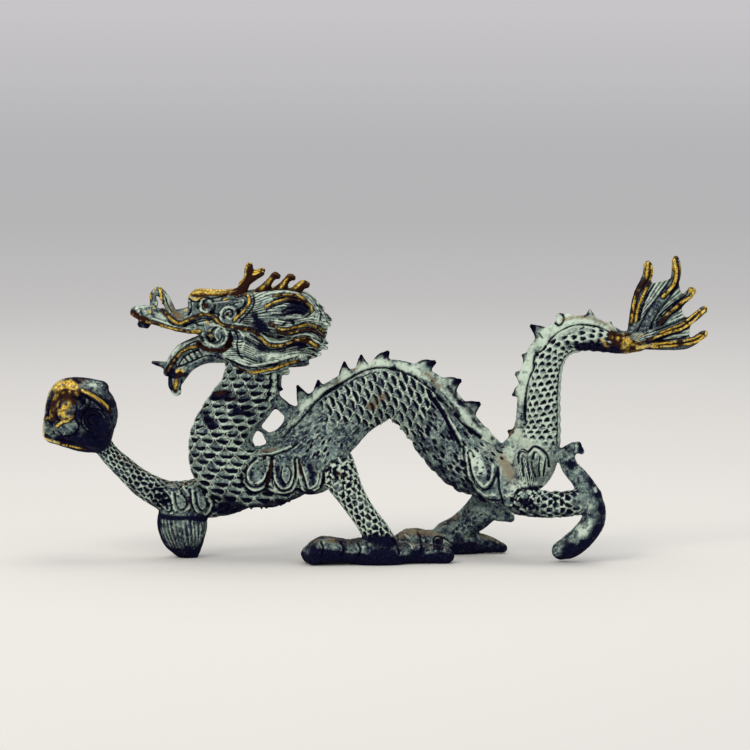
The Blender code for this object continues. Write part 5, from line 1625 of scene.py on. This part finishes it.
def paintedBrass(name):
    material = bpy.data.materials.new(name)
    material.use_nodes = True
    nodes = material.node_tree.nodes
    links = material.node_tree.links
    shader = nodes["Principled BSDF"]

    def add(kind, **values):
        node = nodes.new(kind)
        for key, value in values.items():
            setattr(node, key, value)
        return node

    def feed(socket, value):
        if isinstance(value, bpy.types.NodeSocket):
            links.new(value, socket)
        else:
            socket.default_value = value

    def calculate(operation, a, b, clamp=False):
        node = add("ShaderNodeMath", operation=operation, use_clamp=clamp)
        feed(node.inputs[0], a)
        feed(node.inputs[1], b)
        return node.outputs[0]

    def mix(factor, a, b):
        node = add("ShaderNodeMix", data_type="RGBA")
        feed(node.inputs["Factor"], factor)
        feed(node.inputs[6], a)
        feed(node.inputs[7], b)
        return node.outputs[2]

    def remap(value, low, high, start=0.0, end=1.0):
        node = add("ShaderNodeMapRange", interpolation_type="SMOOTHSTEP")
        feed(node.inputs["Value"], value)
        for key, number in (("From Min", low), ("From Max", high), ("To Min", start), ("To Max", end)):
            node.inputs[key].default_value = number
        return node.outputs[0]

    def noise(scale, detail, roughness=0.6):
        node = add("ShaderNodeTexNoise")
        links.new(place, node.inputs["Vector"])
        node.inputs["Scale"].default_value = scale
        node.inputs["Detail"].default_value = detail
        node.inputs["Roughness"].default_value = roughness
        return node.outputs["Fac"]

    place = add("ShaderNodeTexCoord").outputs["Object"]
    patina = add("ShaderNodeSeparateColor")
    metal = add("ShaderNodeSeparateColor")
    links.new(add("ShaderNodeAttribute", attribute_name="patina").outputs["Color"], patina.inputs[0])
    links.new(add("ShaderNodeAttribute", attribute_name="metal").outputs["Color"], metal.inputs[0])
    ink, pale, tan = patina.outputs
    gold, brown, sootAndShade = metal.outputs

    def cover(amount, texture, low, high, spread=1.3):
        # ragged patches that grow with the painted amount
        shift = calculate("MULTIPLY", calculate("SUBTRACT", texture, 0.5), spread)
        return remap(calculate("ADD", amount, shift), low, high)

    patches = noise(finish["patchScale"], 4, 0.7)
    blots = noise(finish["blotScale"], 4, 0.7)
    flecks = noise(finish["fleckScale"], 4, 0.75)
    colour = mix(remap(patches, 0.42, 0.55), finish["deepGreen"], finish["verdigris"])
    colour = mix(calculate("MULTIPLY", remap(blots, 0.48, 0.64), 0.5), colour, finish["worn"])
    colour = mix(calculate("MULTIPLY", remap(flecks, 0.44, 0.34), 0.6), colour, finish["deepGreen"])
    colour = mix(cover(pale, blots, 0.18, 1.15, 1.1), colour, finish["worn"])
    colour = mix(calculate("MULTIPLY", cover(tan, blots, 0.2, 1.1, 1.2), 0.9), colour, finish["tan"])
    # near black over dark patina and over painted shade
    colour = mix(cover(sootAndShade, flecks, 0.12, 1.0, 1.1), colour, finish["sootAndShade"])
    # dark ink over patina in the hollows and over painted shade in the broad creases
    hollowInkAndShade = calculate("MULTIPLY", ink, remap(flecks, 0.30, 0.60, 1.5, 0.95), True)
    colour = mix(hollowInkAndShade, colour, finish["ink"])
    colour = mix(cover(brown, flecks, 0.15, 0.85, 0.8), colour, finish["brown"])
    bare = calculate("MULTIPLY", gold, remap(flecks, 0.36, 0.56), True)
    colour = mix(bare, colour, mix(remap(blots, 0.46, 0.58), finish["gold"], finish["gleam"]))
    links.new(colour, shader.inputs["Base Color"])
    links.new(calculate("MULTIPLY", bare, finish["metalShare"]), shader.inputs["Metallic"])
    gloss = calculate("MULTIPLY", bare, -finish["goldGloss"])
    rough = calculate("ADD", remap(flecks, 0.3, 0.7, 0.50, 0.72), gloss)
    links.new(rough, shader.inputs["Roughness"])
    shader.inputs["Specular IOR Level"].default_value = finish["sheen"]

    grit = add("ShaderNodeBump")
    grit.inputs["Strength"].default_value = finish["gritStrength"]
    grit.inputs["Distance"].default_value = finish["gritDepth"]
    links.new(calculate("ADD", flecks, calculate("MULTIPLY", patches, 0.5)), grit.inputs["Height"])
    links.new(grit.outputs[0], shader.inputs["Normal"])
    return material


mesh.materials.clear()
mesh.materials.append(paintedBrass("patinatedBrass"))
bpy.ops.object.select_all(action="DESELECT")
dragon.select_set(True)
bpy.context.view_layer.objects.active = dragon
bpy.ops.object.shade_smooth()


def halve(piece, place, normal, beyond):
    # keeps one side of a plane, closes the cut and keeps its rim crisp
    bpy.ops.object.select_all(action="DESELECT")
    piece.select_set(True)
    bpy.context.view_layer.objects.active = piece
    bpy.ops.object.mode_set(mode="EDIT")
    bpy.ops.mesh.select_mode(type="EDGE")
    bpy.ops.mesh.select_all(action="SELECT")
    bpy.ops.mesh.bisect(plane_co=place, plane_no=normal, use_fill=True,
                        clear_inner=beyond, clear_outer=not beyond)
    bpy.ops.mesh.mark_sharp()
    bpy.ops.object.mode_set(mode="OBJECT")


def cutOff(piece, axis, distance, name):
    # what lies beyond the plane becomes a piece of its own
    place = [0.0, 0.0, 0.0]
    place[axis] = distance * mm
    normal = [0.0, 0.0, 0.0]
    normal[axis] = 1.0
    bpy.ops.object.select_all(action="DESELECT")
    piece.select_set(True)
    bpy.context.view_layer.objects.active = piece
    bpy.ops.object.duplicate()
    other = bpy.context.object
    other.name = name
    halve(other, place, normal, True)
    halve(piece, place, normal, False)
    return other


dragon.name = "armAndPearl"                # what is left when the rest is cut off
rear = cutOff(dragon, 0, cuts["shoulder"], "archAndForeleg")
head = cutOff(dragon, 2, cuts["throat"], "headAndMane")
chest = cutOff(dragon, 0, cuts["elbow"], "chestAndNeck")
haunch = cutOff(rear, 0, cuts["haunch"], "haunchAndHindLeg")
tail = cutOff(haunch, 2, cuts["tailRoot"], "tailAndFan")
loin = cutOff(rear, 0, cuts["loin"], "loinAndFarLeg")
pieces = (dragon, chest, head, rear, loin, haunch, tail)
for piece in pieces:
    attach(piece, "root")
    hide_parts("dragon")
    piece.data.calc_loop_triangles()
    print("  ", piece.name, len(piece.data.loop_triangles), "triangles")
print("stage 8: pieces done,", sum(len(piece.data.loop_triangles) for piece in pieces), "triangles")

studio = {
    "distance": 1.6,                       # from the dragon to the camera, in metres
    "frameWidth": 0.2594,                  # width of the picture at the dragon
    "farthest": 60,
    "aim": (0.00017, 0.00663, 0.06305),
    "floorSize": 30.0,
    "toneReach": 8,                        # how far the tones below are spread
    "floorTones": (                        # distance from the dragon, and the floor's colour there; these tones are painted light falling off across the floor and backdrop
        (0.0, (0.845, 0.84, 0.82)),
        (0.16, (0.845, 0.84, 0.82)),
        (0.31, (0.812, 0.806, 0.79)),
        (0.585, (0.765, 0.76, 0.75)),
        (1.01, (0.655, 0.65, 0.655)),
        (1.64, (0.65, 0.645, 0.655)),
        (2.5, (0.70, 0.69, 0.70)),
        (4.03, (0.81, 0.79, 0.80)),
        (6.9, (0.90, 0.87, 0.89)),
    ),
    "room": (0.635, 0.64, 0.65),
    "warmth": (1.0, 0.91, 0.80),
    "lamps": (                             # name, place, size and power
        ("keyLamp", (-0.75, -0.95, 1.15), 0.7, 7.6),
        ("topLamp", (0.15, 0.2, 1.5), 0.9, 5),
    ),
}


def floorPaint():
    paint = bpy.data.materials.new("stagePaint")
    paint.use_nodes = True
    nodes = paint.node_tree.nodes
    links = paint.node_tree.links
    shader = nodes["Principled BSDF"]
    place = nodes.new("ShaderNodeTexCoord")
    distance = nodes.new("ShaderNodeVectorMath")
    distance.operation = "LENGTH"
    share = nodes.new("ShaderNodeMath")
    share.operation = "DIVIDE"
    share.inputs[1].default_value = studio["toneReach"]
    ramp = nodes.new("ShaderNodeValToRGB")
    links.new(place.outputs["Object"], distance.inputs[0])
    links.new(distance.outputs["Value"], share.inputs[0])
    links.new(share.outputs[0], ramp.inputs["Fac"])
    stops = ramp.color_ramp.elements
    while len(stops) > 1:
        stops.remove(stops[-1])
    for i, (metres, colour) in enumerate(studio["floorTones"]):
        stop = stops[0] if i == 0 else stops.new(metres / studio["toneReach"])
        stop.position = metres / studio["toneReach"]
        stop.color = (*colour, 1)
    links.new(ramp.outputs["Color"], shader.inputs["Base Color"])
    shader.inputs["Roughness"].default_value = 0.95
    shader.inputs["Specular IOR Level"].default_value = 0.0
    return paint


def layStage():
    # one wide floor that runs back to the horizon and changes tone with distance, as painted light falling
    # off
    bpy.ops.object.select_all(action="DESELECT")
    bpy.ops.mesh.primitive_plane_add(size=studio["floorSize"], location=(0, 0, 0))
    floor = bpy.context.object
    floor.name = "floor"
    bpy.ops.object.mode_set(mode="EDIT")
    bpy.ops.mesh.subdivide(number_cuts=8)
    bpy.ops.object.mode_set(mode="OBJECT")
    floor.data.materials.append(floorPaint())


def addLamp(name, place, size, power):
    bpy.ops.object.light_add(type="AREA", location=place)
    lamp = bpy.context.object
    lamp.name = name
    lamp.data.size = size
    lamp.data.energy = power
    lamp.data.color = studio["warmth"]
    direction = np.array(studio["aim"]) - np.array(place)
    pitch = math.atan2(math.hypot(direction[0], direction[1]), -direction[2])
    turn = math.atan2(direction[1], direction[0]) - math.pi / 2
    lamp.rotation_euler = (pitch, 0, turn)


layStage()
for lamp in studio["lamps"]:
    addLamp(*lamp)
world = bpy.data.worlds.new("room")
world.use_nodes = True
world.node_tree.nodes["Background"].inputs["Color"].default_value = (*studio["room"], 1)
world.node_tree.nodes["Background"].inputs["Strength"].default_value = 1.0
bpy.context.scene.world = world

bpy.ops.object.camera_add()
camera = bpy.context.object
camera.name = "camera"
camera.data.lens = camera.data.sensor_width * studio["distance"] / studio["frameWidth"]
camera.data.clip_end = studio["farthest"]
aim = np.array(studio["aim"])
camera.location = aim + studio["distance"] * np.array((0, -math.cos(sightTilt), math.sin(sightTilt)))
camera.rotation_euler = (math.pi / 2 - sightTilt, 0, 0)
bpy.context.scene.camera = camera
bpy.context.scene.view_settings.view_transform = "Standard"
print("stage 9: studio set")
